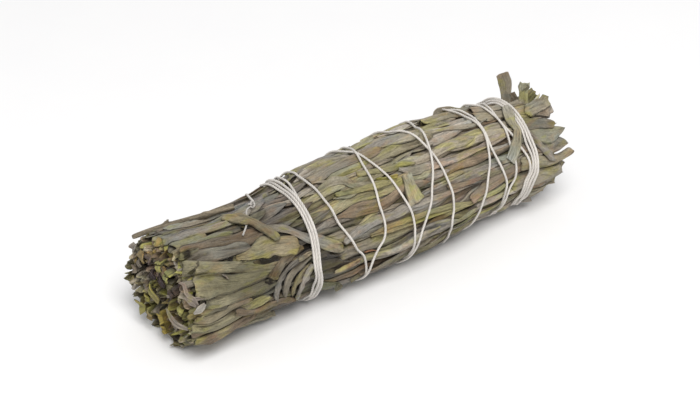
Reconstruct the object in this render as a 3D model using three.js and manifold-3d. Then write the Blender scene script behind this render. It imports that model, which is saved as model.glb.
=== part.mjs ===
// A small smudge stick: a bundle of dried herb lying on its side. Woody stems run down the middle, leafy
// sprigs are packed round them, two tiers of long narrow leaves shingle the outside, and one cotton thread
// is wound to the tip and back over them. Millimetres, +X along the bundle towards the leaf tips, +Z up.
// The origin is on the table, below the middle of the bundle, and the underside is pressed flat there.
import * as THREE from 'three';
import { mergeVertices } from 'three/addons/utils/BufferGeometryUtils.js';
import Module from 'manifold-3d';

const DEGREE = Math.PI / 180;

// Driving dimensions of the bundle.
const CUT_END_X = -49.1; // where the cut ends of the outer leaves lie, on average
const TIP_END_X = 47.0; // where the outer leaf tips end, on average
const AXIS_HEIGHT = 12.4; // the bundle's axis above the table
const RADIUS_STATIONS = [ // radius of the leafy bundle along X
  [-50, 12.1], [-36, 11.9], [-24, 12.1], [-10, 12.8], [12, 12.8], [26, 11.7], [36, 11.1], [50, 10.9],
];
const BOW_STATIONS = [ // how far the bundle bows towards BOW_ANGLE along X
  [-50, -0.2], [-38, -0.9], [-24, -0.5], [-12, 0.0], [2, -0.2], [14, 0.4], [28, 0.5], [42, 0.2],
];
const BOW_ANGLE = -38; // up and to the back
const FLAT_ANGLE = 28; // the bow fades out within about this angle of the underside
const CONTACT_SLACK = 0.2; // half the free play between leaves that lie side by side

// The outer leaves: slots round the bundle, each slanting in under its neighbour like a shingle.
const SLOT_COUNT = 16;
const SLOT_ANGLE = 360 / SLOT_COUNT;
const LEAF_DEPTH = 2.6; // radial depth of the outer layer
const LEAF_SLANT = 1.25 * SLOT_ANGLE; // how far a leaf's buried edge runs under its neighbour, degrees
const LOW_EDGE_DROP = 0.7; // how far a leaf's lower edge sinks below the next leaf's raised edge
const SCARF_LENGTH = 7; // how far a near leaf's tip laps over the root of the far leaf
const SCARF_SLACK = 0.3; // half the play along X in that joint
const LIFT_MOST = 0.35; // how far the proudest leaf stands above the rest

// The sprigs and stems inside.
const SPRIG_COUNT = 8;
const SPRIG_SLACK = 0.4; // between the sprigs and the outer leaves
const CORE_RADIUS = 4.0;
const STEM_RADIUS = 1.15;
const STEM_RING_RADIUS = 2.55;

// The binding thread.
const THREAD_RADIUS = 0.27;
const THREAD_PITCH = 0.65; // between turns that lie side by side
const THREAD_SIDES = 6;
const STEPS_PER_TURN = 24;
const THREAD_STANDOFF = LIFT_MOST + 0.65; // thread's centre above the leafy surface
const THREAD_FLOOR = 0.2 + THREAD_RADIUS; // lowest height of the thread's centre
const GROOVE_RADIUS = THREAD_RADIUS + 0.3;
const SLIVER_SIZE = 0.01; // finer details of a grooved leaf are dropped

const clamp = THREE.MathUtils.clamp;
const mix = THREE.MathUtils.lerp;

// A number from 0 to 1 that depends only on its two seeds.
function scatter(index, salt) {
  const s = Math.sin(index * 127.1 + salt * 311.7) * 43758.5453;
  return s - Math.floor(s);
}

// The value at x of a row of stations, which runs smoothly from each to the next.
function between(stations, x) {
  return stations.slice(1).reduce((value, [x1, next], i) => {
    const [x0, previous] = stations[i];
    return value + (next - previous) * THREE.MathUtils.smoothstep(x, x0, x1);
  }, stations[0][1]);
}

const bundleRadius = (x) => between(RADIUS_STATIONS, x);

// The radius at an angle round the bundle, with its bow, which leaves the flat underside alone.
function skinRadius(x, angle) {
  const fromBelow = THREE.MathUtils.euclideanModulo(angle, 360) - 180;
  const flatness = 0.75 * Math.exp(-((fromBelow / FLAT_ANGLE) ** 2));
  return bundleRadius(x) + between(BOW_STATIONS, x) * Math.cos((angle - BOW_ANGLE) * DEGREE) * (1 - flatness);
}

// A point at an angle round the bundle (0 is the top, 90 the front, 180 the underside) and a depth below its
// surface. Below the axis the surface is pressed flat on a plane at that same depth above the table.
function bundlePoint(x, angle, depth, floor = depth) {
  const a = angle * DEGREE;
  let r = skinRadius(x, angle) - depth;
  if (Math.cos(a) < 0) r = Math.min(r, (AXIS_HEIGHT - floor) / -Math.cos(a));
  return new THREE.Vector3(x, -Math.sin(a) * r, AXIS_HEIGHT + Math.cos(a) * r);
}

// A closed block of unit size, bent by place(), which is given how far a corner lies along it, across it and
// through it, each from 0 to 1. Across runs the way that the angle round the bundle grows.
function bentBlock(alongSegments, acrossSegments, place) {
  const geometry = new THREE.BoxGeometry(1, 1, 1, alongSegments, acrossSegments, 1);
  const p = geometry.getAttribute('position');
  for (let i = 0; i < p.count; i++) {
    const q = place(0.5 + p.getX(i), 0.5 - p.getY(i), 0.5 + p.getZ(i));
    p.setXYZ(i, q.x, q.y, q.z);
  }
  return geometry;
}

function material(color, roughness = 0.9) {
  return new THREE.MeshStandardMaterial({ color, roughness, metalness: 0 });
}

const MATERIALS = {
  greyLeaf: material(0x9a957c),
  oliveLeaf: material(0x8c8a5c),
  sprig: material(0x6f6c48),
  stem: material(0x6a5138),
  thread: material(0xe4dfd6),
};

const bundle = new THREE.Group();

function addPiece(name, geometry, finish) {
  const mesh = new THREE.Mesh(geometry, finish);
  mesh.name = name;
  bundle.add(mesh);
  return mesh;
}

// ---- Manifold helpers, for the grooves that the thread presses into the underside ----

const wasm = await Module();
wasm.setup();

function toSolid(geometry) {
  const bare = new THREE.BufferGeometry();
  bare.setAttribute('position', geometry.getAttribute('position'));
  bare.setIndex(geometry.getIndex());
  const merged = mergeVertices(bare, 1e-4);
  return new wasm.Manifold(new wasm.Mesh({
    numProp: 3,
    vertProperties: merged.getAttribute('position').array,
    triVerts: new Uint32Array(merged.getIndex().array),
  }));
}

function toGeometry(solid) {
  const { vertProperties, triVerts } = solid.getMesh();
  const geometry = new THREE.BufferGeometry();
  geometry.setAttribute('position', new THREE.BufferAttribute(vertProperties, 3));
  geometry.setIndex(new THREE.BufferAttribute(triVerts, 1));
  geometry.computeVertexNormals();
  return geometry;
}

// The largest body left of a solid, since a groove can cut a crumb off, with its slivers smoothed away.
function largestBody(solid) {
  return solid.decompose().reduce((a, b) => (b.volume() > a.volume() ? b : a)).simplify(SLIVER_SIZE);
}

// ---- The thread's route ----

// Each turn goes over the top, down the front, under the bundle and up the back. A row holds its place along
// X at these angles. It may end with its place at the back angle, which is otherwise halfway to the next row.
const ROW_ANGLES = [-40, -10, 20, 50, 80, 110];
const BACK_ANGLE = 220;
const NEAR_BAND = [-20.4, -20.1, -20.3, -20.8, -21.8, -21.3];
const FAR_BAND = [36.2, 36.5, 36.6, 36.3, 35.8, 34.8];
const beside = (row, turns) => row.map((x) => x + turns * THREAD_PITCH);
const WINDING = [
  [-21.2, ...NEAR_BAND.slice(1), -21.4],
  [...beside(NEAR_BAND, 1), -20.2],
  [-15.2, -15.3, -15.0, -14.2, -11.8, -8.7],
  [-2.9, -1.0, 0.0, 1.3, 2.8, 2.7],
  [9.0, 10.6, 12.5, 13.0, 13.3, 12.9],
  [26.4, 28.1, 27.7, 27.0, 28.4, 28.6],
  [34.8, 33.6, 32.9, 34.5, 35.1, 34.1, 35.0],
  [...FAR_BAND, 35.8],
  [...beside(FAR_BAND, 1), 36.6],
  [...beside(FAR_BAND, 2), 37.3],
  [31.8, 32.2, 32.6, 32.0, 31.1, 28.9],
  [25.8, 26.4, 27.0, 25.4, 22.5, 20.8],
  [16.2, 14.7, 12.6, 9.5, 6.1, 3.4],
  [0.1, -1.3, -3.0, -4.1, -4.6, -7.8],
  [-17.3, -17.8, ...beside(NEAR_BAND, 3).slice(2), -18.6],
  [...beside(NEAR_BAND, 2), -19.5],
];
const OUTWARD_TURNS = 9; // the turns after these lie over the ones before
const TAIL_KNOT = { x: -28.4, angle: 2 };
const TAIL_END = { x: -34.2, angle: 30 };
const KNOT_HEIGHT = 1.05; // the knot's middle above the leafy surface

// Where the thread runs over the bundle: its place along X and its whole angle, which grows turn by turn.
function windingTrack() {
  const last = ROW_ANGLES.length - 1;
  const corners = [];
  WINDING.forEach((row, turn) => {
    ROW_ANGLES.forEach((angle, i) => corners.push(new THREE.Vector2(row[i], angle + 360 * turn)));
    const nextX = turn + 1 < WINDING.length ? WINDING[turn + 1][0] : TAIL_KNOT.x + 2.2;
    const backX = row[last + 1] ?? (row[last] + nextX) / 2;
    corners.push(new THREE.Vector2(backX, BACK_ANGLE + 360 * turn));
  });
  corners.push(new THREE.Vector2(TAIL_KNOT.x + 1.1, 360 * WINDING.length - 4));
  return new THREE.SplineCurve(corners);
}

function smoothBump(distance, reach) {
  const t = clamp(1 - distance / reach, 0, 1);
  return t * t * (3 - 2 * t);
}

// The thread's centre line, humped where a later turn crosses an earlier one.
function windingPoints() {
  const track = windingTrack();
  const steps = Math.round(STEPS_PER_TURN * WINDING.length);
  const flat = track.getPoints(steps * 3);
  const overlayFrom = 360 * OUTWARD_TURNS + ROW_ANGLES[0] + 180;
  const under = flat.filter((p) => p.y < overlayFrom);
  return flat.map((p) => {
    let hump = 0;
    if (p.y > overlayFrom + 60) {
      for (const q of under) {
        const apart = THREE.MathUtils.euclideanModulo(p.y - q.y + 180, 360) - 180;
        const arc = apart * DEGREE * bundleRadius(p.x);
        hump = Math.max(hump, smoothBump(Math.hypot(p.x - q.x, arc) - THREAD_RADIUS, 4.5));
      }
    }
    const height = THREAD_STANDOFF + hump * 2.1 * THREAD_RADIUS;
    return bundlePoint(p.x, p.y, -height, THREAD_FLOOR + hump * 2.1 * THREAD_RADIUS);
  });
}

function threadSection(radius) {
  const corners = [];
  for (let i = 0; i < THREAD_SIDES; i++) {
    const a = (i / THREAD_SIDES) * 2 * Math.PI;
    corners.push(new THREE.Vector2(radius * Math.cos(a), radius * Math.sin(a)));
  }
  return new THREE.Shape(corners);
}

function threadAlong(points, radius, steps) {
  const path = new THREE.CatmullRomCurve3(points, false, 'centripetal');
  path.arcLengthDivisions = 4 * points.length;
  return new THREE.ExtrudeGeometry(threadSection(radius), { steps, extrudePath: path, bevelEnabled: false });
}

const windingLine = windingPoints();
const windingSteps = STEPS_PER_TURN * WINDING.length;
const groove = toSolid(threadAlong(windingLine, GROOVE_RADIUS, windingSteps));

// ---- Woody stems ----

function addStems() {
  for (let i = 0; i < 7; i++) {
    const ring = i === 0 ? 0 : STEM_RING_RADIUS;
    const angle = i * 60 * DEGREE;
    const startX = CUT_END_X + 1.5 + 3 * scatter(i, 1);
    const endX = 22 + 14 * scatter(i, 2);
    const stem = new THREE.CylinderGeometry(STEM_RADIUS * 0.7, STEM_RADIUS, endX - startX, 9, 3);
    stem.rotateZ(-Math.PI / 2);
    const mesh = addPiece(`woody_stem_${i + 1}`, stem, MATERIALS.stem);
    mesh.position.set((startX + endX) / 2, Math.sin(angle) * ring, AXIS_HEIGHT + Math.cos(angle) * ring);
  }
}

// ---- Leafy sprigs packed round the stems ----

function addSprigs() {
  const span = 360 / SPRIG_COUNT;
  const gap = 1.6;
  for (let i = 0; i < SPRIG_COUNT; i++) {
    const startX = CUT_END_X + 2.0 + 3.5 * scatter(i, 3);
    const endX = TIP_END_X - 3.0 - 5.0 * scatter(i, 4);
    addPiece(`inner_sprig_${i + 1}`, bentBlock(10, 3, (along, across, through) => {
      const x = mix(startX, endX, along);
      const angle = (i + across) * span + gap * (0.5 - across);
      const outer = bundlePoint(x, angle, LEAF_DEPTH + SPRIG_SLACK);
      const inner = new THREE.Vector3(x, outer.y, outer.z - AXIS_HEIGHT);
      inner.set(0, inner.y, inner.z).setLength(CORE_RADIUS);
      return new THREE.Vector3(x, mix(inner.y, outer.y, through), mix(AXIS_HEIGHT + inner.z, outer.z, through));
    }), MATERIALS.sprig);
  }
}

// ---- The outer leaves ----

// The edge between two slots wanders along the bundle, the same way for both leaves that share it.
function slotEdge(slot, x) {
  const i = ((slot % SLOT_COUNT) + SLOT_COUNT) % SLOT_COUNT;
  const turns = Math.floor(slot / SLOT_COUNT);
  const shift = 0.42 * (scatter(i, 5) - 0.5);
  const sway = 0.1 * Math.sin(x / 12 + 6 * scatter(i, 6));
  return (i + SLOT_COUNT * turns + 0.5 + shift + sway) * SLOT_ANGLE + 7 * Math.sin(x / 23);
}

const RESTING_SLOTS = [6, 7, 8]; // these leaves are pressed flat on the table
const GROOVED_SLOTS = [4, 5, 6, 7, 8, 9, 10]; // the thread sinks into these

function leafBlock(slot, xAt, lift) {
  return bentBlock(10, 2, (along, across, through) => {
    const buried = 1 - through;
    const x = xAt(along, buried);
    const lowEdge = slotEdge(slot, x);
    const highEdge = slotEdge(slot + 1, x);
    const gap = (CONTACT_SLACK / bundleRadius(x)) / DEGREE;
    const spot = mix(lowEdge + gap, highEdge - gap, across);
    const drop = RESTING_SLOTS.includes(slot) ? 0 : LOW_EDGE_DROP * across - lift;
    return bundlePoint(x, spot + buried * LEAF_SLANT, mix(LEAF_DEPTH, drop, through));
  });
}

function addOuterLeaf(name, slot, xAt, lift, finish) {
  let geometry = leafBlock(slot, xAt, lift);
  if (GROOVED_SLOTS.includes(slot)) geometry = toGeometry(largestBody(toSolid(geometry).subtract(groove)));
  addPiece(name, geometry, finish);
}

function addOuterLeaves() {
  for (let slot = 0; slot < SLOT_COUNT; slot++) {
    const meetX = mix(-9, 9, scatter(slot, 7));
    const startX = CUT_END_X + mix(-0.8, 0.8, scatter(slot, 8));
    const endX = TIP_END_X + mix(-2.2, 2.2, scatter(slot, 9));
    const finish = scatter(slot, 10) < 0.6 ? MATERIALS.greyLeaf : MATERIALS.oliveLeaf;
    const scarf = (buried) => meetX + SCARF_LENGTH * (0.5 - buried);
    const lift = (salt) => LIFT_MOST * scatter(slot, salt);
    addOuterLeaf(`near_leaf_${slot + 1}`, slot,
      (along, buried) => mix(startX, scarf(buried) - SCARF_SLACK, along), lift(11), finish);
    addOuterLeaf(`far_leaf_${slot + 1}`, slot,
      (along, buried) => mix(scarf(buried) + SCARF_SLACK, endX, along), lift(12), finish);
  }
}

// ---- Loose leaves and the twig, lying on or standing out of the outer layer ----

// A thin leaf along a spine of points on the bundle, each with its place along X, angle and height above it.
function looseLeaf(spine, width, thickness, flat) {
  const points = spine.map(([x, angle, height]) => bundlePoint(x, angle, -height));
  const curve = new THREE.CatmullRomCurve3(points);
  return bentBlock(8, 2, (along, across, through) => {
    const p = curve.getPoint(along);
    const tangent = curve.getTangent(along);
    const outward = new THREE.Vector3(0, p.y, p.z - AXIS_HEIGHT).normalize();
    const facing = flat === undefined ? outward : flat;
    const side = new THREE.Vector3().crossVectors(tangent, facing).normalize();
    const normal = new THREE.Vector3().crossVectors(side, tangent).normalize();
    const halfWidth = 0.5 * width * (0.35 + 0.65 * Math.sin(Math.PI * clamp(0.1 + 0.85 * along, 0, 1)));
    return p.clone()
      .addScaledVector(side, mix(-halfWidth, halfWidth, across))
      .addScaledVector(normal, mix(-thickness / 2, thickness / 2, through));
  });
}

const LOOSE_THICKNESS = 0.45;
const LAID_HEIGHT = LIFT_MOST + LOOSE_THICKNESS / 2 + 0.25;
const OVER_TAIL_HEIGHT = LIFT_MOST + 2 * THREAD_RADIUS + LOOSE_THICKNESS + 0.25;
const OVER_BAND_HEIGHT = THREAD_STANDOFF + 3.6 * THREAD_RADIUS + LOOSE_THICKNESS;
const TOWARDS_FRONT = new THREE.Vector3(-0.5, -0.75, 0.35).normalize(); // where the upright leaves face

function addLooseLeaves() {
  addPiece('crossing_leaf', looseLeaf(
    [[-34.6, -5, LAID_HEIGHT], [-31.8, 13, OVER_TAIL_HEIGHT], [-28.2, 48, LAID_HEIGHT + 0.9]],
    1.9, LOOSE_THICKNESS), MATERIALS.oliveLeaf);
  addPiece('broad_leaf', looseLeaf(
    [[-37.4, 50, LAID_HEIGHT], [-32.5, 53, LAID_HEIGHT], [-28.4, 54, LAID_HEIGHT], [-23.6, 58, LAID_HEIGHT]],
    4.4, LOOSE_THICKNESS), MATERIALS.greyLeaf);
  addPiece('leaf_chip', looseLeaf(
    [[6.1, 28, LAID_HEIGHT + 0.1], [4.9, 42, LAID_HEIGHT], [4.5, 64, LAID_HEIGHT + 0.1]],
    2.9, LOOSE_THICKNESS), MATERIALS.greyLeaf);
  addPiece('standing_leaf', looseLeaf(
    [[39.4, -14, LAID_HEIGHT], [39.9, -13.5, 2.6], [39.4, -12.5, 7.2]],
    2.9, LOOSE_THICKNESS, TOWARDS_FRONT), MATERIALS.greyLeaf);
  addPiece('forked_leaf', looseLeaf(
    [[41.6, 1, LAID_HEIGHT], [41.6, 2, 2.6], [41.6, 4.2, 5.6]],
    2.2, LOOSE_THICKNESS, TOWARDS_FRONT), MATERIALS.oliveLeaf);
  addPiece('folded_leaf', looseLeaf(
    [[37.6, 22, OVER_BAND_HEIGHT], [34.8, 41, OVER_BAND_HEIGHT], [30.6, 62, OVER_BAND_HEIGHT - 0.3]],
    3.0, LOOSE_THICKNESS), MATERIALS.greyLeaf);
}

function addTwig() {
  const radius = 0.5;
  const height = LIFT_MOST + radius + 0.15;
  const route = [[-49.9, -44], [-45, -39], [-40, -31], [-36, -20], [-31, -11]];
  const twig = new THREE.ExtrudeGeometry(threadSection(radius), {
    steps: 10,
    extrudePath: new THREE.CatmullRomCurve3(route.map(([x, angle]) => bundlePoint(x, angle, -height))),
    bevelEnabled: false,
  });
  addPiece('loose_twig', twig, MATERIALS.stem);
}

// ---- The thread, its knot and its loose end ----

function addThread() {
  addPiece('binding_thread', threadAlong(windingLine, THREAD_RADIUS, windingSteps), MATERIALS.thread);
  const knot = new THREE.TorusKnotGeometry(0.62, 0.27, 30, 5, 2, 3);
  const knotMesh = addPiece('thread_knot', knot, MATERIALS.thread);
  knotMesh.position.copy(bundlePoint(TAIL_KNOT.x, TAIL_KNOT.angle, -KNOT_HEIGHT));
  const tail = [];
  for (let i = 0; i <= 4; i++) {
    const t = i / 4;
    tail.push(bundlePoint(mix(TAIL_KNOT.x - 1.3, TAIL_END.x, t), mix(TAIL_KNOT.angle + 1, TAIL_END.angle, t),
      -(LIFT_MOST + THREAD_RADIUS + 0.1)));
  }
  addPiece('thread_tail', threadAlong(tail, THREAD_RADIUS, 10), MATERIALS.thread);
}

addStems();
addSprigs();
addOuterLeaves();
addLooseLeaves();
addTwig();
addThread();

export default bundle;
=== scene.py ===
"""Looks of a small smudge stick: dried leaves bundled lengthwise, bound with thread, lying on its side.

Lengths are in millimetres until a mesh is made. X runs along the bundle, from its cut end to its leaf tips.
An angle is round the bundle, in degrees: 0 is the top, 90 the front, 180 the underside. A height is above
the bundle's nominal skin. Leaves are laid one by one on a map of how high the skin stands, so that each
rests on those below it, and the thread is wound over them all. Along a leaf, t runs from 0 at its root to 1
at its tip; across it, u runs from -1 to 1.
"""

import bpy
import numpy as np
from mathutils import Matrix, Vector


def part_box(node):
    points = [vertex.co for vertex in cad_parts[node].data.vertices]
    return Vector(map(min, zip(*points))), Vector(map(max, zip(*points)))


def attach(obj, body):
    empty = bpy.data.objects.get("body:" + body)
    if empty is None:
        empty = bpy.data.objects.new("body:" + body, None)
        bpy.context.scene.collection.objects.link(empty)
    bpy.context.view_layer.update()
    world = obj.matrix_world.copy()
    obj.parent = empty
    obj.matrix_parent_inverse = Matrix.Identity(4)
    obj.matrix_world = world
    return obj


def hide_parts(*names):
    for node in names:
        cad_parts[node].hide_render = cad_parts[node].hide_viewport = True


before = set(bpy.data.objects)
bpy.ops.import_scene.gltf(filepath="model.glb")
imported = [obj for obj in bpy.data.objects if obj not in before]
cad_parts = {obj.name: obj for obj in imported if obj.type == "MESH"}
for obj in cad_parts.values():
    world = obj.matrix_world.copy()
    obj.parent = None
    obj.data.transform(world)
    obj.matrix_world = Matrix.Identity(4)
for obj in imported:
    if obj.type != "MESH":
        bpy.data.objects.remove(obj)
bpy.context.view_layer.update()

MM = 0.001
TURN = 360.0


# ---- The bundle's form, as in the part ----

RADIUS_STATIONS = [(-50, 12.1), (-36, 11.9), (-24, 12.1), (-10, 12.8), (12, 12.8), (26, 11.7), (36, 11.1),
                   (50, 10.9)]
BOW_STATIONS = [(-50, -0.2), (-38, -0.9), (-24, -0.5), (-12, 0.0), (2, -0.2), (14, 0.4), (28, 0.5),
                (42, 0.2)]
BOW_ANGLE = -38  # the bundle bows up and to the back
FLAT_ANGLE = 28  # the bow fades out within about this angle of the underside
RIDGE_STATIONS = [(-50, 0.0), (-40, -0.4), (-30, -1.0), (-22, -0.9), (-15, 0.1), (-2, 0.5), (8, 0.8),
                  (24, 0.6), (31, 0.4), (36, -0.3)]
RIDGE_ANGLE = -50  # the ridge is how much higher the leaves stand along the upper back
SKIN_LEVEL = -0.10  # mean height of the leaves once they have settled
FIRST_LEVEL = -2.6  # height that the first leaves are laid on
CUT_END_X = -49.1
TIP_END_X = 47.0
AXIS_HEIGHT = (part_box("woody_stem_1")[0][2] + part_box("woody_stem_1")[1][2]) / 2 / MM
REST_GAP = 0.05  # between the table and the proudest leaf of the underside
SKIN_CAP = 0.45  # height of that proudest leaf
MAP_RADIUS = 12.5  # at which angles count as lengths on the map of the skin

NEAR_BAND = [-20.4, -20.1, -20.3, -20.8, -21.8, -21.3]
FAR_BAND = [36.2, 36.5, 36.6, 36.3, 35.8, 34.8]
ROW_ANGLES = [-40, -10, 20, 50, 80, 110]
BACK_ANGLE = 220
THREAD_PITCH = 0.41
THREAD_RADIUS = 0.25
THREAD_STEP = 0.27
PINCH_DEPTH = 0.75  # how far the thread presses the leaves in, where it lies close
TRACK_RADIUS = 12.8  # at which the thread's path is measured
TAIL_KNOT = (-28.4, 2)
TAIL_END = (-34.2, 30)


def beside(row, turns):
    """A row of the winding, moved along the bundle by a number of thread pitches."""
    return [x + turns * THREAD_PITCH for x in row]


# Where each turn of the thread lies along X, at the row angles. A row may end with its place at the back
# angle, which is otherwise halfway to the next row.
WINDING = [
    [-21.2] + NEAR_BAND[1:] + [-21.4],
    beside(NEAR_BAND, 1) + [-20.2],
    [-15.2, -15.3, -15.0, -14.2, -11.8, -8.7],
    [-2.9, -1.0, 0.0, 1.3, 2.8, 2.7],
    [9.0, 10.6, 12.5, 13.0, 13.3, 12.9],
    [26.4, 27.9, 27.5, 26.9, 28.4, 28.6],
    [34.8, 33.6, 32.9, 34.5, 35.1, 34.1, 35.0],
    FAR_BAND + [35.8],
    beside(FAR_BAND, 1) + [36.6],
    beside(FAR_BAND, 2) + [37.3],
    [31.8, 32.2, 32.6, 32.0, 31.1, 28.9],
    [25.8, 26.7, 27.1, 25.4, 22.5, 20.8],
    [16.2, 14.7, 12.6, 9.5, 6.1, 3.4],
    [0.1, -1.3, -3.0, -4.1, -4.6, -7.8],
    [-17.3, -17.8] + beside(NEAR_BAND, 3)[2:] + [-18.6],
    beside(NEAR_BAND, 2) + [-19.5],
]


# ---- Curves, paths and noise ----

def smoothstep(t):
    t = np.clip(t, 0, 1)
    return t * t * (3 - 2 * t)


def ramp(value, start, end):
    """0 up to a start, rising smoothly to 1 at an end, which may lie on either side of it."""
    return smoothstep((value - start) / (end - start))


def between(stations, x):
    """The value at x of a row of stations, which runs smoothly from each to the next."""
    x = np.asarray(x, float)
    value = np.full(x.shape, float(stations[0][1]))
    for (x0, previous), (x1, following) in zip(stations, stations[1:]):
        value = value + (following - previous) * ramp(x, x0, x1)
    return value


def near_angle(angle, middle, reach):
    """1 at an angle, fading to 0 within about a reach of it."""
    apart = np.mod(angle - middle + 180, TURN) - 180
    return np.exp(-(apart / reach) ** 2)


def steps(count):
    """Even steps from 0 to 1."""
    return np.linspace(0, 1, count)


def circle(count):
    """Even angles round a circle, in radians."""
    return np.linspace(0, 2 * np.pi, count, endpoint=False)


def unit(vectors):
    return vectors / np.linalg.norm(vectors, axis=1)[:, None]


def lengths_along(points):
    """How far along a path each of its points lies."""
    return np.concatenate([[0], np.cumsum(np.linalg.norm(np.diff(points, axis=0), axis=1))])


def curve_through(points, count):
    """A smooth curve through a few points (Catmull-Rom), sampled evenly along its chords."""
    p = np.asarray(points, float)
    p = np.concatenate([[2 * p[0] - p[1]], p, [2 * p[-1] - p[-2]]])
    spans = len(p) - 3
    at = np.linspace(0, spans, count)
    i = np.minimum(at.astype(int), spans - 1)
    t = (at - i)[:, None]
    a, b, c, d = p[i], p[i + 1], p[i + 2], p[i + 3]
    return 0.5 * (2 * b + (c - a) * t + (2 * a - 5 * b + 4 * c - d) * t ** 2
                  + (3 * b - a - 3 * c + d) * t ** 3)


def evenly_spaced(points, step):
    """The same path with its points an equal step apart."""
    along = lengths_along(points)
    at = np.linspace(0, along[-1], max(2, int(round(along[-1] / step)) + 1))
    return np.stack([np.interp(at, along, column) for column in points.T], 1)


def axes_along(line, facing):
    """At each point of a line: its heading, the direction to its side, and the one out of its face."""
    heading = unit(np.gradient(line, axis=0))
    side = unit(np.cross(heading, facing))
    return heading, side, np.cross(side, heading)


def tube(line, side, up, radius, around):
    """Rings round a line, each point at its own radius."""
    across, rise = radius * np.cos(around), radius * np.sin(around)
    return line[:, None] + side * across[..., None] + up * rise[..., None]


def closed_strip(top, low):
    """Rings round a leaf, from the rows of its two faces, which meet at its edges."""
    top[:, [0, -1]] = (top[:, [0, -1]] + low[:, [0, -1]]) / 2
    return np.concatenate([top, low[:, -2:0:-1]], 1)


def texture_place(along, across, shift):
    """Where points lie in the texture: along and across their strand, and at a shift of its own."""
    return np.stack(np.broadcast_arrays(along, across, shift), -1)


def strand_place(along, rings, number):
    across = 1.5 * np.cos(circle(rings.shape[1]))
    return texture_place((along - along[0])[:, None], across, 5.17 * number)


def blur_along(values, reach):
    """Gaussian blur down the first axis, reach being its sigma in samples."""
    half = int(np.ceil(3 * reach))
    kernel = np.exp(-0.5 * (np.arange(-half, half + 1) / reach) ** 2)
    kernel /= kernel.sum()
    flat = values.reshape(len(values), -1)
    padded = np.concatenate([np.repeat(flat[:1], half, 0), flat, np.repeat(flat[-1:], half, 0)])
    out = sum(k * padded[i:i + len(flat)] for i, k in enumerate(kernel))
    return out.reshape(values.shape)


def highest_nearby(values, reach):
    """The largest value within reach samples, along a row of values."""
    padded = np.concatenate([np.repeat(values[:1], reach), values, np.repeat(values[-1:], reach)])
    return np.max([padded[i:i + len(values)] for i in range(2 * reach + 1)], axis=0)


def stretcher(count, fine):
    """The matrix that spreads a row of samples over more of them by linear interpolation."""
    at = np.linspace(0, count - 1, fine)
    i = np.minimum(at.astype(int), count - 2)
    matrix = np.zeros((fine, count))
    matrix[np.arange(fine), i] = 1 - (at - i)
    matrix[np.arange(fine), i + 1] = at - i
    return matrix


def wander(rng, t, waves=3):
    """A smooth random curve over t from 0 to 1, of unit size."""
    out = np.zeros_like(t)
    for k in range(1, waves + 1):
        out += rng.normal() / k * np.sin(2 * np.pi * (0.5 * k * t + rng.random()))
    return out


# ---- Places on the bundle ----

def bundle_radius(x):
    """Radius of the bundle at each x, leaving its bow aside."""
    return between(RADIUS_STATIONS, x)


def skin_radius(x, angle):
    """Radius at an angle round the bundle, with its bow, which leaves the flat underside alone."""
    from_below = np.mod(angle, TURN) - 180
    flatness = 0.75 * np.exp(-(from_below / FLAT_ANGLE) ** 2)
    bow = between(BOW_STATIONS, x) * np.cos(np.radians(angle - BOW_ANGLE))
    return bundle_radius(x) + bow * (1 - flatness)


def on_bundle(x, angle, height, floor=None):
    """Points at a height above the skin. Below the axis they are pressed flat above the table."""
    a = np.radians(angle)
    if floor is None:
        floor = REST_GAP + np.maximum(0, SKIN_CAP - height)
    down = np.maximum(-np.cos(a), 1e-6)
    r = skin_radius(x, angle) + height
    r = np.where(np.cos(a) < 0, np.minimum(r, (AXIS_HEIGHT - floor) / down), r)
    return np.stack([x + 0 * r, -np.sin(a) * r, AXIS_HEIGHT + np.cos(a) * r], -1)


def inside(x, angle, share, sway):
    """Points at a share of the bundle's radius, swayed out or in."""
    depth = (share - 1) * bundle_radius(x) + sway
    return on_bundle(x, angle, depth, floor=REST_GAP + SKIN_CAP - depth)


def rim_reach(angle):
    """How far the leaves of the back stand out past the cut end."""
    return 1.9 * np.maximum(0, -np.cos(np.radians(angle - 82))) ** 2


def rim_inset(angle):
    """How much shorter the leaves are along the top of the cut end, and at the hollow in its front."""
    return 1.6 * np.maximum(0, np.cos(np.radians(angle + 25))) ** 4 + 2.8 * near_angle(angle, 47, 13)


def tip_inset(angle):
    """How much shorter the leaves are where the broad tips stand out at the front."""
    return 2.2 * near_angle(angle, 62, 26)


def angles_round(rng, count):
    """Angles spread over a turn, in random order and each a little off its place."""
    first = rng.uniform(0, TURN)
    for i in rng.permutation(count):
        yield first + (i + rng.uniform(-0.35, 0.35)) * TURN / count


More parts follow.
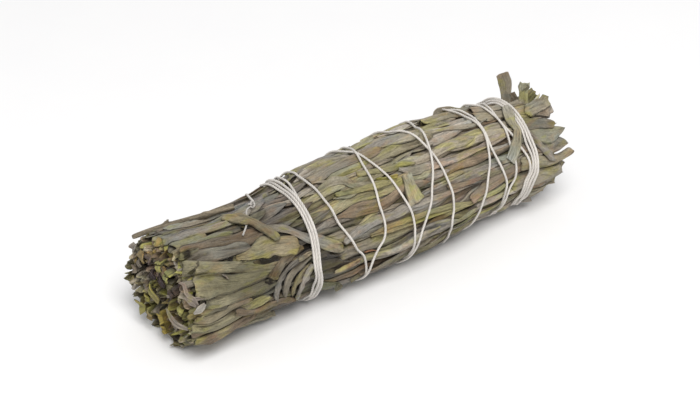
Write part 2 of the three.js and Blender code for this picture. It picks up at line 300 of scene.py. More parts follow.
class Skin:
    """A map of heights over the unrolled skin, along X and round the bundle."""

    START_X = -53.0
    STEP = 0.25
    COLUMNS = 424
    ANGLES = 360

    def __init__(self, high):
        self.high = np.zeros((self.COLUMNS, self.ANGLES)) + high

    def sample(self, x, angle):
        fx = np.clip((x - self.START_X) / self.STEP, 0, self.COLUMNS - 1.001)
        fa = np.mod(angle, TURN)
        ix, ia = fx.astype(int), fa.astype(int) % self.ANGLES
        tx, ta = fx - ix, fa - np.floor(fa)
        nxt = (ia + 1) % self.ANGLES
        low_row = self.high[ix, ia] * (1 - ta) + self.high[ix, nxt] * ta
        high_row = self.high[ix + 1, ia] * (1 - ta) + self.high[ix + 1, nxt] * ta
        return low_row * (1 - tx) + high_row * tx

    def sample_round(self, x, angle):
        """The mean of five samples a cell apart."""
        offsets = [(0, 0), (self.STEP, 0), (-self.STEP, 0), (0, 1), (0, -1)]
        return sum(self.sample(x + dx, angle + da) for dx, da in offsets) / len(offsets)

    def cells(self, x, angle):
        ix = np.clip(np.rint((x - self.START_X) / self.STEP).astype(int), 0, self.COLUMNS - 1)
        return ix, np.rint(angle).astype(int) % self.ANGLES

    def raise_to(self, x, angle, height):
        np.maximum.at(self.high, self.cells(x, angle), height)

    def blurred(self, reach):
        """The heights under a Gaussian blur, which wraps round the bundle and mirrors at its ends."""
        mirrored = np.concatenate([self.high, self.high[::-1]])
        fx = np.fft.fftfreq(len(mirrored))[:, None] * reach / self.STEP
        fa = np.fft.fftfreq(self.ANGLES)[None, :] * np.degrees(reach / MAP_RADIUS)
        kernel = np.exp(-2 * np.pi ** 2 * (fx ** 2 + fa ** 2))
        return np.real(np.fft.ifft2(np.fft.fft2(mirrored) * kernel))[:self.COLUMNS]


# ---- Collecting rings of points into pieces ----

class Piece:
    """A Blender object gathered from closed strands, each a row of rings of points."""

    def __init__(self, name):
        self.name = name
        self.count = 0
        self.points, self.tints, self.grains, self.quads, self.tris = [], [], [], [], []

    def add(self, rings, tint, grain, cap="fold"):
        """Adds one strand. A fold cap joins a leaf's two faces, a disc cap fills a round end."""
        n, m = rings.shape[:2]
        rings[..., 2] = np.maximum(rings[..., 2], REST_GAP)
        index = np.arange(n * m).reshape(n, m)
        after = np.roll(index, -1, axis=1)
        quads = [np.stack([index[:-1], after[:-1], after[1:], index[1:]], -1).reshape(-1, 4)]
        tris = []
        values = [np.broadcast_to(value, (n, m, 3)).reshape(-1, 3) for value in (rings, tint, grain)]
        for row, flip in ((index[0], True), (index[-1], False)):
            if cap == "fold":
                top = np.arange(m // 2 + 1)
                under = (m - top) % m
                strip = np.stack([row[top[:-1]], row[top[1:]], row[under[1:]], row[under[:-1]]], -1)
                faces = [strip[1:-1], strip[:1, :3], strip[-1:, [0, 1, 3]]]
            else:
                hub = np.full(m, len(values[0]))
                values = [np.concatenate([value, value[row].mean(0)[None]]) for value in values]
                faces = [np.stack([row, np.roll(row, -1), hub], -1)]
            for f in faces:
                f = f[:, ::-1] if flip else f
                (quads if f.shape[1] == 4 else tris).append(f)
        quads, tris = np.concatenate(quads), np.concatenate(tris)
        split = np.concatenate([quads[:, [0, 1, 2]], quads[:, [0, 2, 3]], tris])
        a, b, c = values[0][split].swapaxes(0, 1)
        if np.einsum("ij,ij->i", a, np.cross(b, c)).sum() < 0:
            quads, tris = quads[:, ::-1], tris[:, ::-1]
        for gathered, value in zip((self.points, self.tints, self.grains), values):
            gathered.append(value)
        self.quads.append(quads + self.count)
        self.tris.append(tris + self.count)
        self.count += len(values[0])

    def build(self, finish, nodes=(), slot=None):
        """Makes the object, which rides on the root body and stands for the CAD nodes.

        Its finish is one of the materials. Its slot argument is not used.
        """
        quads, tris = np.concatenate(self.quads), np.concatenate(self.tris)
        mesh = bpy.data.meshes.new(self.name)
        mesh.vertices.add(self.count)
        mesh.vertices.foreach_set("co", (np.concatenate(self.points) * MM).ravel())
        corners = np.concatenate([quads.ravel(), tris.ravel()])
        mesh.loops.add(len(corners))
        mesh.loops.foreach_set("vertex_index", corners.astype(np.int32))
        starts = np.concatenate([[0], np.cumsum([4] * len(quads) + [3] * len(tris))[:-1]])
        mesh.polygons.add(len(starts))
        mesh.polygons.foreach_set("loop_start", starts.astype(np.int32))
        mesh.update(calc_edges=True)
        mesh.validate()
        mesh.polygons.foreach_set("use_smooth", np.ones(len(mesh.polygons), bool))
        tint = np.concatenate(self.tints)
        colours = mesh.color_attributes.new("tint", "FLOAT_COLOR", "POINT")
        colours.data.foreach_set("color", np.concatenate([tint, np.ones((len(tint), 1))], 1).ravel())
        grain = mesh.attributes.new("grain", "FLOAT_VECTOR", "POINT")
        grain.data.foreach_set("vector", np.concatenate(self.grains).ravel())
        mesh.materials.append(MATERIALS[finish])
        piece = bpy.data.objects.new(self.name, mesh)
        bpy.context.scene.collection.objects.link(piece)
        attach(piece, "root")
        slot or finish
        if nodes:
            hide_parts(*nodes)


def make(name, finish, nodes, *fillings, slot=None):
    """Makes a piece from the functions that fill it, each with a seed of its own."""
    piece = Piece(name)
    for fill, seed in fillings:
        fill(piece, np.random.default_rng(seed))
    piece.build(finish, nodes, slot)


# ---- Colours, as sRGB bytes turned into linear light ----

def colour(red, green, blue):
    c = np.array([red, green, blue]) / 255
    return np.where(c <= 0.04045, c / 12.92, ((c + 0.055) / 1.055) ** 2.4)


GREY = colour(165, 159, 147)
TAUPE = colour(157, 149, 131)
SAGE = colour(151, 149, 130)
OLIVE = colour(155, 149, 120)
YELLOW = colour(159, 153, 111)
BROWN = colour(138, 122, 100)
RUST = colour(150, 104, 76)
MAUVE = colour(152, 141, 129)
DARK = colour(74, 62, 44)
MAROON = colour(66, 42, 40)
PURPLE = colour(62, 50, 50)
GREEN = colour(146, 143, 84)
AMBER = colour(146, 128, 82)
STRAW = colour(178, 168, 138)
PALE = colour(200, 189, 172)
BARK = colour(132, 121, 102)
COTTON = colour(236, 230, 222)

# Each tone with its weight in the mix.
GREY_TONES = [(GREY, 38), (TAUPE, 30), (SAGE, 8), (OLIVE, 8), (BROWN, 4), (MAUVE, 6)]
WARM_TONES = [(OLIVE, 22), (YELLOW, 12), (TAUPE, 24), (BROWN, 14), (GREY, 18), (SAGE, 5)]
BLOTCH_TONES = [(TAUPE, 8), (SAGE, 4), (OLIVE, 9), (YELLOW, 9), (BROWN, 9), (RUST, 1), (GREY, 5)]
RIM_TONES = [(GREEN, 9), (OLIVE, 9), (TAUPE * 0.9, 8), (BROWN, 5), (AMBER, 1.5), (GREY * 0.9, 5)]
# The middle of the cut end: the inner leaves' own dark brown and maroon, made deeper as painted shade of
# its hollow core.
CORE_TONES = [(DARK, 7), (MAROON, 5), (PURPLE, 5), (BROWN * 0.8, 5), (AMBER * 0.8, 1.5), (GREEN * 0.8, 3)]


def pick_tone(rng, tones):
    weights = np.array([weight for _, weight in tones], float)
    tone = tones[rng.choice(len(tones), p=weights / weights.sum())][0]
    return tone * rng.uniform(0.74, 1.22)


def front_shade(x, angle, depth):
    """Painted shade: the leaves of the front are darker by the cut end, by a given depth."""
    return 1 - depth * near_angle(angle, 66, 48) * ramp(x, -18, -30)


def skin_tone(rng, x, angle):
    """A leaf's colour: greyer on top, warmer down the front; painted shade low down and by the cut end,
    painted light on top of the middle and towards the tips.
    """
    warm = 0.20 + 0.40 * max(0.0, -np.cos(np.radians(angle + 60)))
    tone = pick_tone(rng, WARM_TONES if rng.random() < warm else GREY_TONES)
    # Painted shade on the underside, and painted light on top of the middle.
    down = ramp(np.mod(angle + 90, TURN), 140, 200)
    top_light = 0.24 * near_angle(angle, 20, 30) * np.exp(-((x - 2) / 18) ** 2)
    cool = 0.12 * near_angle(angle, -10, 50) * ramp(x, -14, -26)
    tone = tone * np.array([1 - 0.2 * cool, 1, 1 + cool])
    # Painted shade by the cut end, and painted light that grows towards the leaf tips.
    tone = tone * front_shade(x, angle, 0.75)
    return tone * (0.79 + 0.50 * ramp(x, -34, 22) + top_light) * (1 - (0.26 - 0.10 * ramp(x, 0, 24)) * down)


def mix(first, second, share):
    return first * (1 - share) + second * share


# ---- Leaves laid on the skin ----

LEAF_GAP = 0.03  # between a leaf and what it lies on
LEAF_EASE = 0.07  # how gently it comes to rest there
LEAF_SPAN = 1.6  # a leaf bridges hollows shorter than about this
PUCKER = 0.07  # height of the ripples along it
END_RAG = 1.2  # how far from its ends it may be ragged or torn
REST_SHARE = 62  # percentage of the skin across it that it rests above


def leaf_outline(rng, t, tip, point, root):
    """Share of the full width along the leaf, tapered towards its ends. A high point makes a sharp tip."""
    out = 1 + 0.10 * wander(rng, t, 4)
    if tip > 0:
        out = out * np.maximum(1 - np.clip((t - 1 + tip) / tip, 0, 1) ** 2, 0.0025) ** point
    if root > 0:
        return out * (1 - 0.75 * smoothstep(1 - t / root))
    return out * (1 - rng.uniform(0.15, 0.6) * np.exp(-t / 0.02))


def leaf_relief(rng, t, u, arch, folds, crease):
    """The face of a dried leaf: edges curled down, creases and folded steps along it, and wrinkles."""
    face = -arch * np.abs(u) ** rng.uniform(1.5, 2.4)
    for _ in range(2):
        at = rng.uniform(-0.6, 0.6) + 0.16 * wander(rng, t, 3)
        depth = crease * rng.uniform(0.5, 1.3) * (0.8 + 0.4 * wander(rng, t, 3))
        face = face - depth * np.exp(-((u - at) / 0.17) ** 2)
        step = rng.uniform(-0.5, 0.5) + 0.16 * wander(rng, t, 3)
        face = face + crease * rng.normal(0, 0.8) * np.tanh((u - step) / 0.16)
    for waves in (1.4, 2.3, 3.6):
        phase = 2 * np.pi * rng.random() + 1.4 * wander(rng, t, 4)
        size = folds * (1 + 0.6 * wander(rng, t, 4)) / waves
        face = face + size * np.sin(np.pi * waves * u + phase)
    return face + 0.4 * folds * wander(rng, t, 9)


def mottled(rng, t, u, tone):
    """A leaf's colour: its own tone, turning to another along it, with paler edges."""
    other = pick_tone(rng, BLOTCH_TONES)
    share = np.clip(0.5 * wander(rng, t, 5) + 0.3 * u * rng.normal(), 0, 0.6)[..., None]
    shade = 1 + 0.07 * wander(rng, t, 5) + 0.10 * np.abs(u) ** 3 + 0.05 * rng.normal() * u
    return mix(tone, other, share) * shade[..., None]


class LaidLeaf:
    """A leaf resting on the skin: its grid of places, and how high its two faces stand."""

    ALONG = 42
    ACROSS = 11

    def __init__(self, skin, rng, spine, width, number, arch=0.5, folds=0.12, crease=0.16, thick=0.24,
                 tilt=0.0, lift=lambda t, u: 0, tip=0.22, point=0.5, root=0.0, ragged=0.0, torn=0.0,
                 tone=None, detail=1.0, profile=(1, 1), end_tone=None):
        """The spine is points of (x, angle). Tip and root are the shares of the length that taper.

        A profile is shares of the width along the leaf. An end tone colours both its ends.
        """
        along = max(12, int(self.ALONG * detail * min(1.0, 0.35 + len(spine) * 0.2)))
        across = 2 * int(self.ACROSS * detail / 2) + 1
        path = curve_through(spine, along)
        t = steps(along)[:, None]
        u = np.linspace(-1, 1, across)[None, :]
        radius = bundle_radius(path[:, 0])
        step_x = np.gradient(path[:, 0])
        step_s = np.radians(np.gradient(path[:, 1])) * radius
        run = np.maximum(np.hypot(step_x, step_s), 1e-6)
        length = run.sum()
        half = 0.5 * width * leaf_outline(rng, t[:, 0], tip, point, root)
        half = half * np.interp(t[:, 0], steps(len(profile)), profile)
        heading_x, heading_s = (step_x / run)[:, None], (step_s / run)[:, None]
        skew = 0.10 * wander(rng, t[:, 0], 4)[:, None] * (1 - u ** 2)
        row = steps(across)
        jag = ragged * wander(rng, row, 4) + 0.5 * ragged * rng.normal() * u[0]
        jag = jag * np.exp(-t * length / END_RAG)
        jag = jag + torn * wander(rng, row, 4) * np.exp(-(1 - t) * length / END_RAG)
        edge = 0.07 * (wander(rng, t, 9) * (1 + u) + wander(rng, t, 9) * (1 - u))
        reach = (u * (1 + edge) + skew) * half[:, None]
        self.x = path[:, :1] - reach * heading_s + jag * heading_x
        self.angle = path[:, 1:] + np.degrees((reach * heading_x + jag * heading_s) / radius[:, None])
        under = skin.sample_round(self.x, self.angle)
        stiffness = along / length * LEAF_SPAN
        base = highest_nearby(np.percentile(under, REST_SHARE, axis=1), max(1, int(stiffness)))
        base = blur_along(base, stiffness)
        slope = blur_along((under * u).sum(1) / (u ** 2).sum(), stiffness * 0.8)
        slope = np.clip(slope, -0.5, 0.5) * 0.85 + tilt * (wander(rng, t[:, 0], 2) + rng.normal())
        face = leaf_relief(rng, t, u, arch * np.minimum(1, half / (0.4 * width))[:, None], folds, crease)
        ripple = length / rng.uniform(3.0, 5.5) * t + 0.35 * u * rng.normal() + wander(rng, t, 3)
        face = face + PUCKER * (0.6 + 0.5 * wander(rng, t, 4)) * np.sin(2 * np.pi * ripple)
        low = base[:, None] + slope[:, None] * u + face + 0.4 * arch + lift(t, u)
        low = under + LEAF_GAP + LEAF_EASE * np.logaddexp(0, (low - under - LEAF_GAP) / LEAF_EASE)
        self.low = blur_along(low, 0.8)
        self.high = self.low + thick * (1 - 0.4 * u ** 2) * np.minimum(1, 0.35 + 6 * (1 - t))
        self.t, self.u, self.length, self.half, self.number = t, u, length, half, number
        self.tint = mottled(rng, t, u, skin_tone(rng, *path[along // 2]) if tone is None else tone)
        if end_tone is not None:
            near_end = np.exp(-np.minimum(t, 1 - t) * length / 1.4)[..., None]
            self.tint = mix(self.tint, end_tone, 0.75 * near_end)
        self.record(skin)

    def record(self, skin):
        """Raises the skin to this leaf's upper face."""
        n, m = self.high.shape
        down = stretcher(n, int(self.length / 0.18) + 2)
        across = stretcher(m, int(2 * self.half.max() / 0.16) + 3)
        skin.raise_to(*[down @ field @ across.T for field in (self.x, self.angle, self.high)])

    def add_to(self, piece, settle=None, surroundings=()):
        """Adds the leaf to a piece, sunk as the skin settled, with painted shade where the skin round it is
        higher.

        The surroundings are blurred maps of the skin for that painted shade, each with the height that
        darkens fully and how much.
        """
        drop = 0 if settle is None else settle.sample(self.x, self.angle)
        light = np.ones_like(self.high)
        # Painted shade in the gaps, lighter at the front, past the near band.
        gap_shade = 1 - 0.5 * near_angle(self.angle, 45, 58) * ramp(self.x, -22, -10)
        for blurred, depth, share in surroundings:
            light -= share * gap_shade * smoothstep((blurred.sample(self.x, self.angle) - self.high) / depth)
        height = closed_strip(self.high - drop, self.low - drop)
        columns = self.high.shape[1]
        order = list(range(columns)) + list(range(columns - 2, 0, -1))
        rings = on_bundle(self.x[:, order], self.angle[:, order], height)
        across = (self.u * self.half[:, None])[:, order]
        grain = texture_place(self.t * self.length, across, 7.31 * self.number)
        near_cut = 0.35 * ramp(self.x, CUT_END_X + 3.0, CUT_END_X - 0.5)[..., None]
        # The painted shade is warmer as well as darker.
        tint = mix(self.tint, GREEN, near_cut) * light[..., None] ** np.array([0.9, 1.0, 1.1])
        piece.add(rings, tint[:, order], grain)


def random_leaf(skin, rng, start, length, angle, number, width_range, cut=False, broad=False, detail=1.0):
    """One leaf of the outer layers, from its root at start towards +X. The broad ones lie hidden."""
    kind = 0.5 + 0.5 * rng.random() if broad else rng.random()
    width = rng.uniform(*width_range)
    form = dict(arch=rng.uniform(0.20, 0.60), folds=0.13, crease=0.18)
    if kind < 0.35:
        width *= 0.6
        form = dict(arch=rng.uniform(0.3, 0.7), folds=0.08, crease=0.12)
    elif kind > 0.8:
        width *= 1.15
        form = dict(arch=rng.uniform(0.05, 0.25), folds=0.20, crease=0.28)
    at_tips = start + length > TIP_END_X - 6
    heading = rng.normal(0, 6.0)
    spine = []
    for share in (0, 0.25, 0.5, 0.75, 1):
        sway = rng.normal(0, 4.0 if at_tips and share == 1 else 1.8)
        spine.append((start + length * share, angle + heading * (share - 0.5) + sway))
    end_lift = rng.uniform(-0.8, 0.5) if at_tips else rng.uniform(-0.1, 0.4)
    end_curl = rng.normal(0, 0.6 if at_tips else 0.25)
    cut_lift = rng.uniform(-1.0, 0.5) + 0.8 * near_angle(angle, 225, 30)
    cut_curl = rng.uniform(-0.9, 1.5)

    def lift(t, u):
        rise = ramp(t, 1 - 5 / length, 1) * (end_lift + end_curl * u)
        if cut:
            rise = rise + ramp(t, 3.5 / length, 0) * (cut_lift + 0.5 * end_curl * u - cut_curl * u ** 2)
        return rise

    form.update(tip=rng.uniform(0.04, 0.14) if at_tips else rng.uniform(0.15, 0.40))
    form.update(point=rng.uniform(0.45, 1.0), torn=0.25 if at_tips else 0.0, ragged=0.3 if cut else 0.1)
    form.update(tilt=0.16, lift=lift, root=0.0 if cut else 0.2, detail=detail)
    return LaidLeaf(skin, rng, spine, width, number, **form)


# Rows of leaves, each over the last: how many, where they start, and their ranges of length and of width.
LEAF_ROWS = [
    (24, 18, (24, 30), (4.0, 5.4)), (24, -6, (28, 36), (4.0, 5.4)), (24, -28, (28, 36), (4.0, 5.4)),
    (22, 24, (18, 24), (2.8, 4.6)), (20, 16, (24, 32), (2.4, 4.0)), (22, 5, (24, 40), (2.2, 3.8)),
    (22, -4, (26, 40), (2.0, 3.6)), (22, 12, (18, 32), (1.8, 3.4)), (22, -14, (24, 40), (2.0, 3.6)),
    (22, 3, (16, 32), (1.5, 3.0)), (22, -24, (24, 40), (1.9, 3.5)), (22, -12, (16, 34), (1.5, 3.0)),
]
# Rows that start at the cut end: how many, ranges of length and width, and how far their starts spread.
CUT_ROWS = [
    (24, (24, 40), (4.0, 5.4), 1.0), (26, (20, 38), (2.2, 3.8), 1.8), (24, (14, 30), (1.7, 3.1), 3.2),
]


def lay_skin(skin, rng):
    """The outer layers: rows of leaves, those of the cut end, and those that stand out at the front."""
    leaves = []
    for count, start, lengths, widths in LEAF_ROWS:
        kind = dict(broad=True, detail=0.55) if widths[0] >= 4 else {}
        for angle in angles_round(rng, count):
            x = start + rng.uniform(-6, 6)
            length = min(rng.uniform(*lengths), TIP_END_X + rng.uniform(-2.5, 2.0) - tip_inset(angle) - x)
            leaves.append(random_leaf(skin, rng, x, length, angle, len(leaves), widths, **kind))
    for count, lengths, widths, spread in CUT_ROWS:
        for angle in angles_round(rng, count):
            x = CUT_END_X + rng.uniform(-1.0, spread + 0.6) - rim_reach(angle) + rim_inset(angle)
            length = rng.uniform(*lengths)
            leaves.append(random_leaf(skin, rng, x, length, angle, len(leaves), widths, cut=True))
    for listed in FRONT_LEAVES:
        leaves.append(lay_named(skin, rng, listed, len(leaves), depth=0.50))
    return leaves


def lay_named(skin, rng, listed, number, depth=0.0):
    """Lays one of the listed leaves, darkened by painted shade of up to a given depth by the cut end."""
    spine, width, form = listed
    tone = form["tone"] * front_shade(*np.mean(spine, axis=0), depth)
    return LaidLeaf(skin, rng, spine, width, number, **dict(form, tone=tone))


def leaf(width, tone, arch, *spine, **form):
    """A listed leaf: its width, its tone, how far it is arched, and its points of (x, angle)."""
    return spine, width, dict(form, tone=tone, arch=arch)


def hollow(width, *spine):
    """Painted shadow: a narrow dark leaf in the hollow between two others, standing in for the shade there.
    """
    return leaf(width, DARK * 0.4, 0.0, *spine, thick=0.10, root=0.3, tip=0.3)


def rolled_start(height):
    """A lift that raises a leaf's first few millimetres."""
    return lambda t, u: height * np.exp(-t / 0.16)


# Leaves that stand out at the front.
FRONT_LEAVES = [
    # By the cut end.
    leaf(1.9, GREY, 0.8, (-48.6, 0), (-45.5, 3), (-39.4, 3), (-32.8, 6), (-29.0, 4)),
    leaf(1.8, TAUPE * 0.9, 0.8, (-47.4, 24), (-46.0, 26), (-42.6, 22), (-38.0, 18)),
    leaf(2.3, SAGE * 1.08, 0.4, (-48.6, 20), (-44.0, 17), (-39.2, 15.5), (-34.6, 18)),
    leaf(3.2, BROWN * 1.02, 0.5, (-47.8, 27), (-42.6, 27), (-38.6, 27), (-34.0, 31), (-29.5, 33),
         folds=0.24, crease=0.36),
    leaf(2.8, TAUPE * 0.86, 0.6, (-48.3, 34), (-43.5, 35), (-38.5, 38), (-33.5, 42), crease=0.34),
    leaf(1.9, STRAW * 0.9, 0.7, (-48.9, 92), (-46.2, 98), (-43.0, 95), (-39.8, 92), (-36, 93)),
    # Painted shadow: a narrow dark leaf in the gap under the leaves beside it.
    leaf(1.7, DARK * 0.5, 0.0, (-46.2, 74), (-44.0, 77), (-40.6, 79), thick=0.1, root=0.3),
    leaf(3.0, OLIVE * 0.85, 0.8, (-46.4, 76), (-45.0, 79), (-40.5, 82), (-34.5, 84), (-30.5, 84)),
    leaf(2.9, OLIVE * 1.1, 0.6, (-49.6, 104), (-47.0, 106), (-43.0, 106), (-38.0, 101), (-32.0, 98),
         end_tone=STRAW),
    leaf(2.8, BROWN * 0.9, 0.6, (-49.2, 120), (-43.0, 119), (-35.0, 116)),
    leaf(2.5, OLIVE * 1.04, 1.0, (-46.4, 42), (-43.2, 48), (-38.8, 55), (-33.4, 62), (-29.0, 65),
         end_tone=STRAW, lift=rolled_start(0.8)),
    leaf(3.6, colour(166, 160, 124), 1.2, (-48.1, 58), (-44.4, 62), (-39.7, 68), (-34.0, 72), (-30.0, 73),
         folds=0.16, tip=0.45, end_tone=STRAW * 0.95, lift=rolled_start(0.8)),
    # Painted shadow: narrow dark leaves in the hollows between them.
    hollow(1.2, (-38.9, 46), (-37.2, 48.5), (-35.4, 53)),
    hollow(1.1, (-34.5, 57), (-31.0, 60), (-27.4, 64)),
    hollow(1.1, (-33.0, 18), (-31.2, 26.5), (-28.6, 37)),
    hollow(1.2, (-37.6, 106.5), (-34.5, 109.5), (-31.0, 110)),
    hollow(1.2, (-33.0, 79.5), (-31.2, 81), (-29.2, 78)),
    hollow(1.1, (-48.6, 28.5), (-46.8, 27.8), (-44.0, 27)),
    hollow(1.5, (-48.2, 43), (-47.2, 41.5), (-45.4, 37)),
    # The leaves that sweep down from under the near band, and others near it.
    leaf(1.5, BROWN * 0.8, 0.9, (-21.8, 82), (-24.2, 85), (-26.2, 94), (-26.8, 108)),
    leaf(1.9, GREY, 0.9, (-21.6, 82), (-23.8, 91), (-24.8, 107), (-25.0, 120)),
    leaf(1.3, TAUPE * 0.9, 1.0, (-22.0, 73), (-25.0, 77), (-27.2, 83), (-28.3, 92), (-28.8, 104)),
    leaf(1.3, GREY, 1.0, (-24.0, 70), (-27.5, 75), (-29.5, 84), (-30.5, 96), (-30.5, 108)),
    leaf(2.1, BROWN * 0.85, 0.8, (-23.0, 62), (-25.4, 63), (-28.4, 67), (-30.6, 74), (-31.3, 79), tip=0.06,
         end_tone=AMBER * 0.7),
    leaf(1.0, STRAW, 0.4, (-25.2, 70), (-23.6, 69.5), (-21.6, 68.5)),
    leaf(1.9, BROWN, 0.9, (-40.5, 98), (-35.5, 108), (-29.6, 112), (-25.4, 122)),
    leaf(2.4, TAUPE, 0.45, (-30.5, 27), (-28.0, 31.5), (-25.2, 39), (-21.2, 55), (-18.0, 67), (-14.3, 79.5),
         root=0.3, tip=0.1, end_tone=colour(160, 144, 104)),
    leaf(0.7, PALE * 1.05, 0.1, (-42.4, 45), (-41.4, 47.5), (-40.2, 50), thick=0.2),
    leaf(0.6, PALE * 0.8, 0.1, (-41.6, 57), (-41.1, 59), (-40.8, 61.5), thick=0.2),
    # The middle.
    leaf(1.5, OLIVE, 0.9, (-14.8, 17), (-11.5, 14.5), (-8.8, 17), (-7.0, 25), (-4.0, 30.5), (0.0, 35.5)),
    leaf(1.3, colour(157, 151, 106), 0.5, (-12.0, 27), (-8.0, 30.5), (-3.0, 34), (2.0, 36)),
    leaf(1.5, colour(160, 154, 114), 0.5, (-5.0, 15), (-1.0, 19), (3.5, 24), (8.0, 28)),
    leaf(1.4, colour(164, 158, 92), 0.4, (-2.0, 28), (0.4, 31), (2.8, 33), tip=0.5, root=0.4),
    leaf(2.1, GREY, 0.8, (-14.0, 73), (-9.4, 66), (-5.2, 64), (-1.2, 65), (3.5, 61.5)),
    leaf(1.4, colour(146, 128, 104), 0.5, (-17.2, 98), (-13.8, 97), (-10.4, 95)),
    leaf(0.8, colour(158, 112, 80), 0.4, (-9.6, 90), (-8.2, 91.5), (-6.6, 94), tip=0.5, root=0.4),
    leaf(2.0, GREY * 1.05, 0.4, (3.6, 28), (6.2, 34), (8.4, 35), (11.2, 35), root=0.3),
    leaf(1.1, colour(148, 124, 106), 0.5, (13.0, 61), (17.4, 64), (22.0, 65)),
    leaf(3.6, GREY, 0.8, (0.0, -13), (4.0, -14), (8.5, -6.5), (14.0, -3)),
    leaf(3.4, TAUPE, 0.8, (-14.5, 0), (-9.0, -4), (-2.0, -6), (4.0, -4)),
    leaf(3.8, TAUPE * 1.05, 0.8, (17.5, -22), (24.0, -26), (29.0, -24), (35.0, -20)),
    leaf(3.8, GREY, 0.8, (17.0, -38), (23.0, -41), (29.0, -40), (35.0, -37)),
    leaf(2.4, colour(158, 138, 116), 0.8, (18.0, 82), (25.0, 77), (32.0, 74), (39.0, 73)),
    # The leaf tips.
    leaf(4.4, TAUPE, 1.0, (31.0, 92), (37.0, 96), (41.5, 100), (45.0, 102), tip=0.1),
    leaf(2.8, colour(160, 150, 126), 0.9, (33.0, 68), (38.0, 76), (42.0, 82), (45.6, 85), (48.7, 82),
         tip=0.07, point=0.5, profile=[1, 1, 0.95, 0.85, 0.9], lift=lambda t, u: 0.9 * t ** 3),
    leaf(3.7, TAUPE * 0.85, 0.4, (35.0, 50), (41.0, 61), (44.0, 66), (48.0, 71), tip=0.24, point=0.8),
    leaf(3.6, SAGE, 0.4, (35.0, 39), (40.2, 46.5), (43.8, 50), (48.2, 50), tip=0.28, point=1.0),
    leaf(3.0, TAUPE * 0.66, 0.6, (35.0, 24), (37.9, 27), (41.0, 32), (43.7, 36.5), (45.6, 41), tip=0.12),
    leaf(1.7, GREY * 0.8, 0.5, (36.6, 26), (37.6, 36), (38.4, 46), (39.4, 60), (41.2, 74), (42.4, 80)),
    leaf(5.0, colour(170, 160, 134), 1.1, (29.0, -6), (35.5, 2), (41.0, 12), (46.6, 21), tip=0.05),
    leaf(3.4, TAUPE, 0.9, (29.5, -14), (37.0, -10), (42.0, -5), (46.0, 1), tip=0.06, torn=0.2),
    leaf(2.6, TAUPE, 0.6, (39.6, 17), (43.4, 15), (47.0, 12), tip=0.03, root=0.15, folds=0.3, crease=0.4,
         end_tone=YELLOW, lift=lambda t, u: 0.9 * t * (0.6 - 0.5 * u)),
]
# Those that are CAD nodes of their own, laid before the thread or over it.
CHIP_LEAF = leaf(3.8, colour(172, 166, 142), 0.5, (4.3, 35), (3.9, 42), (3.8, 52), (4.3, 62), tip=0.05,
                 root=0.12, profile=[0.55, 0.62, 0.8, 1.0], thick=0.4, lift=lambda t, u: 0.5 - 0.15 * u)
TORN_LEAF = leaf(4.1, colour(154, 144, 118), 0.25, (-37.4, 47), (-33.6, 49.5), (-30.2, 49), (-26.8, 53),
                 (-24.0, 57.5), root=0.5, tip=0.12, torn=0.3, end_tone=AMBER * 0.9,
                 lift=lambda t, u: 0.35 * (1 - t))
CROSSING_LEAF = leaf(2.0, colour(138, 129, 104), 0.6, (-34.8, -3), (-32.4, 9), (-31.0, 18.5), (-29.8, 30),
                     (-27.8, 46.5), tip=0.06, thick=0.4, lift=lambda t, u: 0.25 + 0.35 * t)
FOLDED_LEAF = leaf(3.1, colour(166, 160, 134), 0.15, (36.6, 2), (35.8, 12), (35.2, 22), (35.3, 33),
                   (34.2, 43), (32.5, 52), (30.4, 61), tip=0.0, thick=0.36,
                   profile=[0.5, 0.7, 0.6, 0.66, 0.9, 1.0], end_tone=colour(186, 186, 176),
                   lift=lambda t, u: 0.2 + 0.3 * t ** 2)


# ---- The thread's path ----

def winding_track():
    """The thread's place along X and its whole angle, which grows turn by turn."""
    corners = []
    next_starts = [row[0] for row in WINDING[1:]] + [TAIL_KNOT[0] + 2.2]
    for turn, (row, next_x) in enumerate(zip(WINDING, next_starts)):
        corners += [(x, angle + TURN * turn) for x, angle in zip(row, ROW_ANGLES)]
        last = len(ROW_ANGLES) - 1
        back_x = row[last + 1] if len(row) > last + 1 else (row[last] + next_x) / 2
        corners.append((back_x, BACK_ANGLE + TURN * turn))
    corners.append((TAIL_KNOT[0] + 1.1, TURN * len(WINDING) - 4))
    track = curve_through(corners, 12000)
    arc = np.stack([track[:, 0], np.radians(track[:, 1]) * TRACK_RADIUS], 1)
    arc = evenly_spaced(arc, THREAD_STEP)
    return arc[:, 0], np.degrees(arc[:, 1] / TRACK_RADIUS)


def thread_mark(x, angle, reach):
    """How much thread lies within a reach of each place of the skin, 1 beside a single strand."""
    marks = Skin(0)
    marks.high[marks.cells(x, angle)] = 1
    single = Skin.STEP / (reach * np.sqrt(2 * np.pi))
    return marks.blurred(reach) / single


def lay_thread(skin, x, angle, bite=0.12):
    """Heights of a taut thread's centre over the skin, which it bites into and then raises."""
    aside = 0.2
    turned = np.degrees(aside / TRACK_RADIUS)
    places = [(dx, da) for dx in (-aside, 0, aside) for da in (-turned, turned)]
    under = np.max([skin.sample(x + dx, angle + da) for dx, da in places], axis=0)
    height = blur_along(highest_nearby(under, 5), 4) + THREAD_RADIUS - bite
    for offset in np.linspace(-0.9, 0.9, 7) * THREAD_RADIUS:
        skin.raise_to(x + offset, angle, height + np.sqrt(THREAD_RADIUS ** 2 - offset ** 2))
    return height


def lay_winding(skin, x, angle):
    """The thread's path, laid half a turn at a time, so that a later turn rides over the earlier ones."""
    heights = np.zeros_like(x)
    half_turns = ((angle - ROW_ANGLES[0]) // 180).astype(int)
    for half_turn in range(half_turns.max() + 1):
        here = half_turns == half_turn
        if here.any():
            heights[here] = lay_thread(skin, x[here], angle[here])
    heights = blur_along(heights, 3)
    floor = np.maximum(REST_GAP + SKIN_CAP - heights, REST_GAP + THREAD_RADIUS)
    return on_bundle(x, angle, heights, floor)


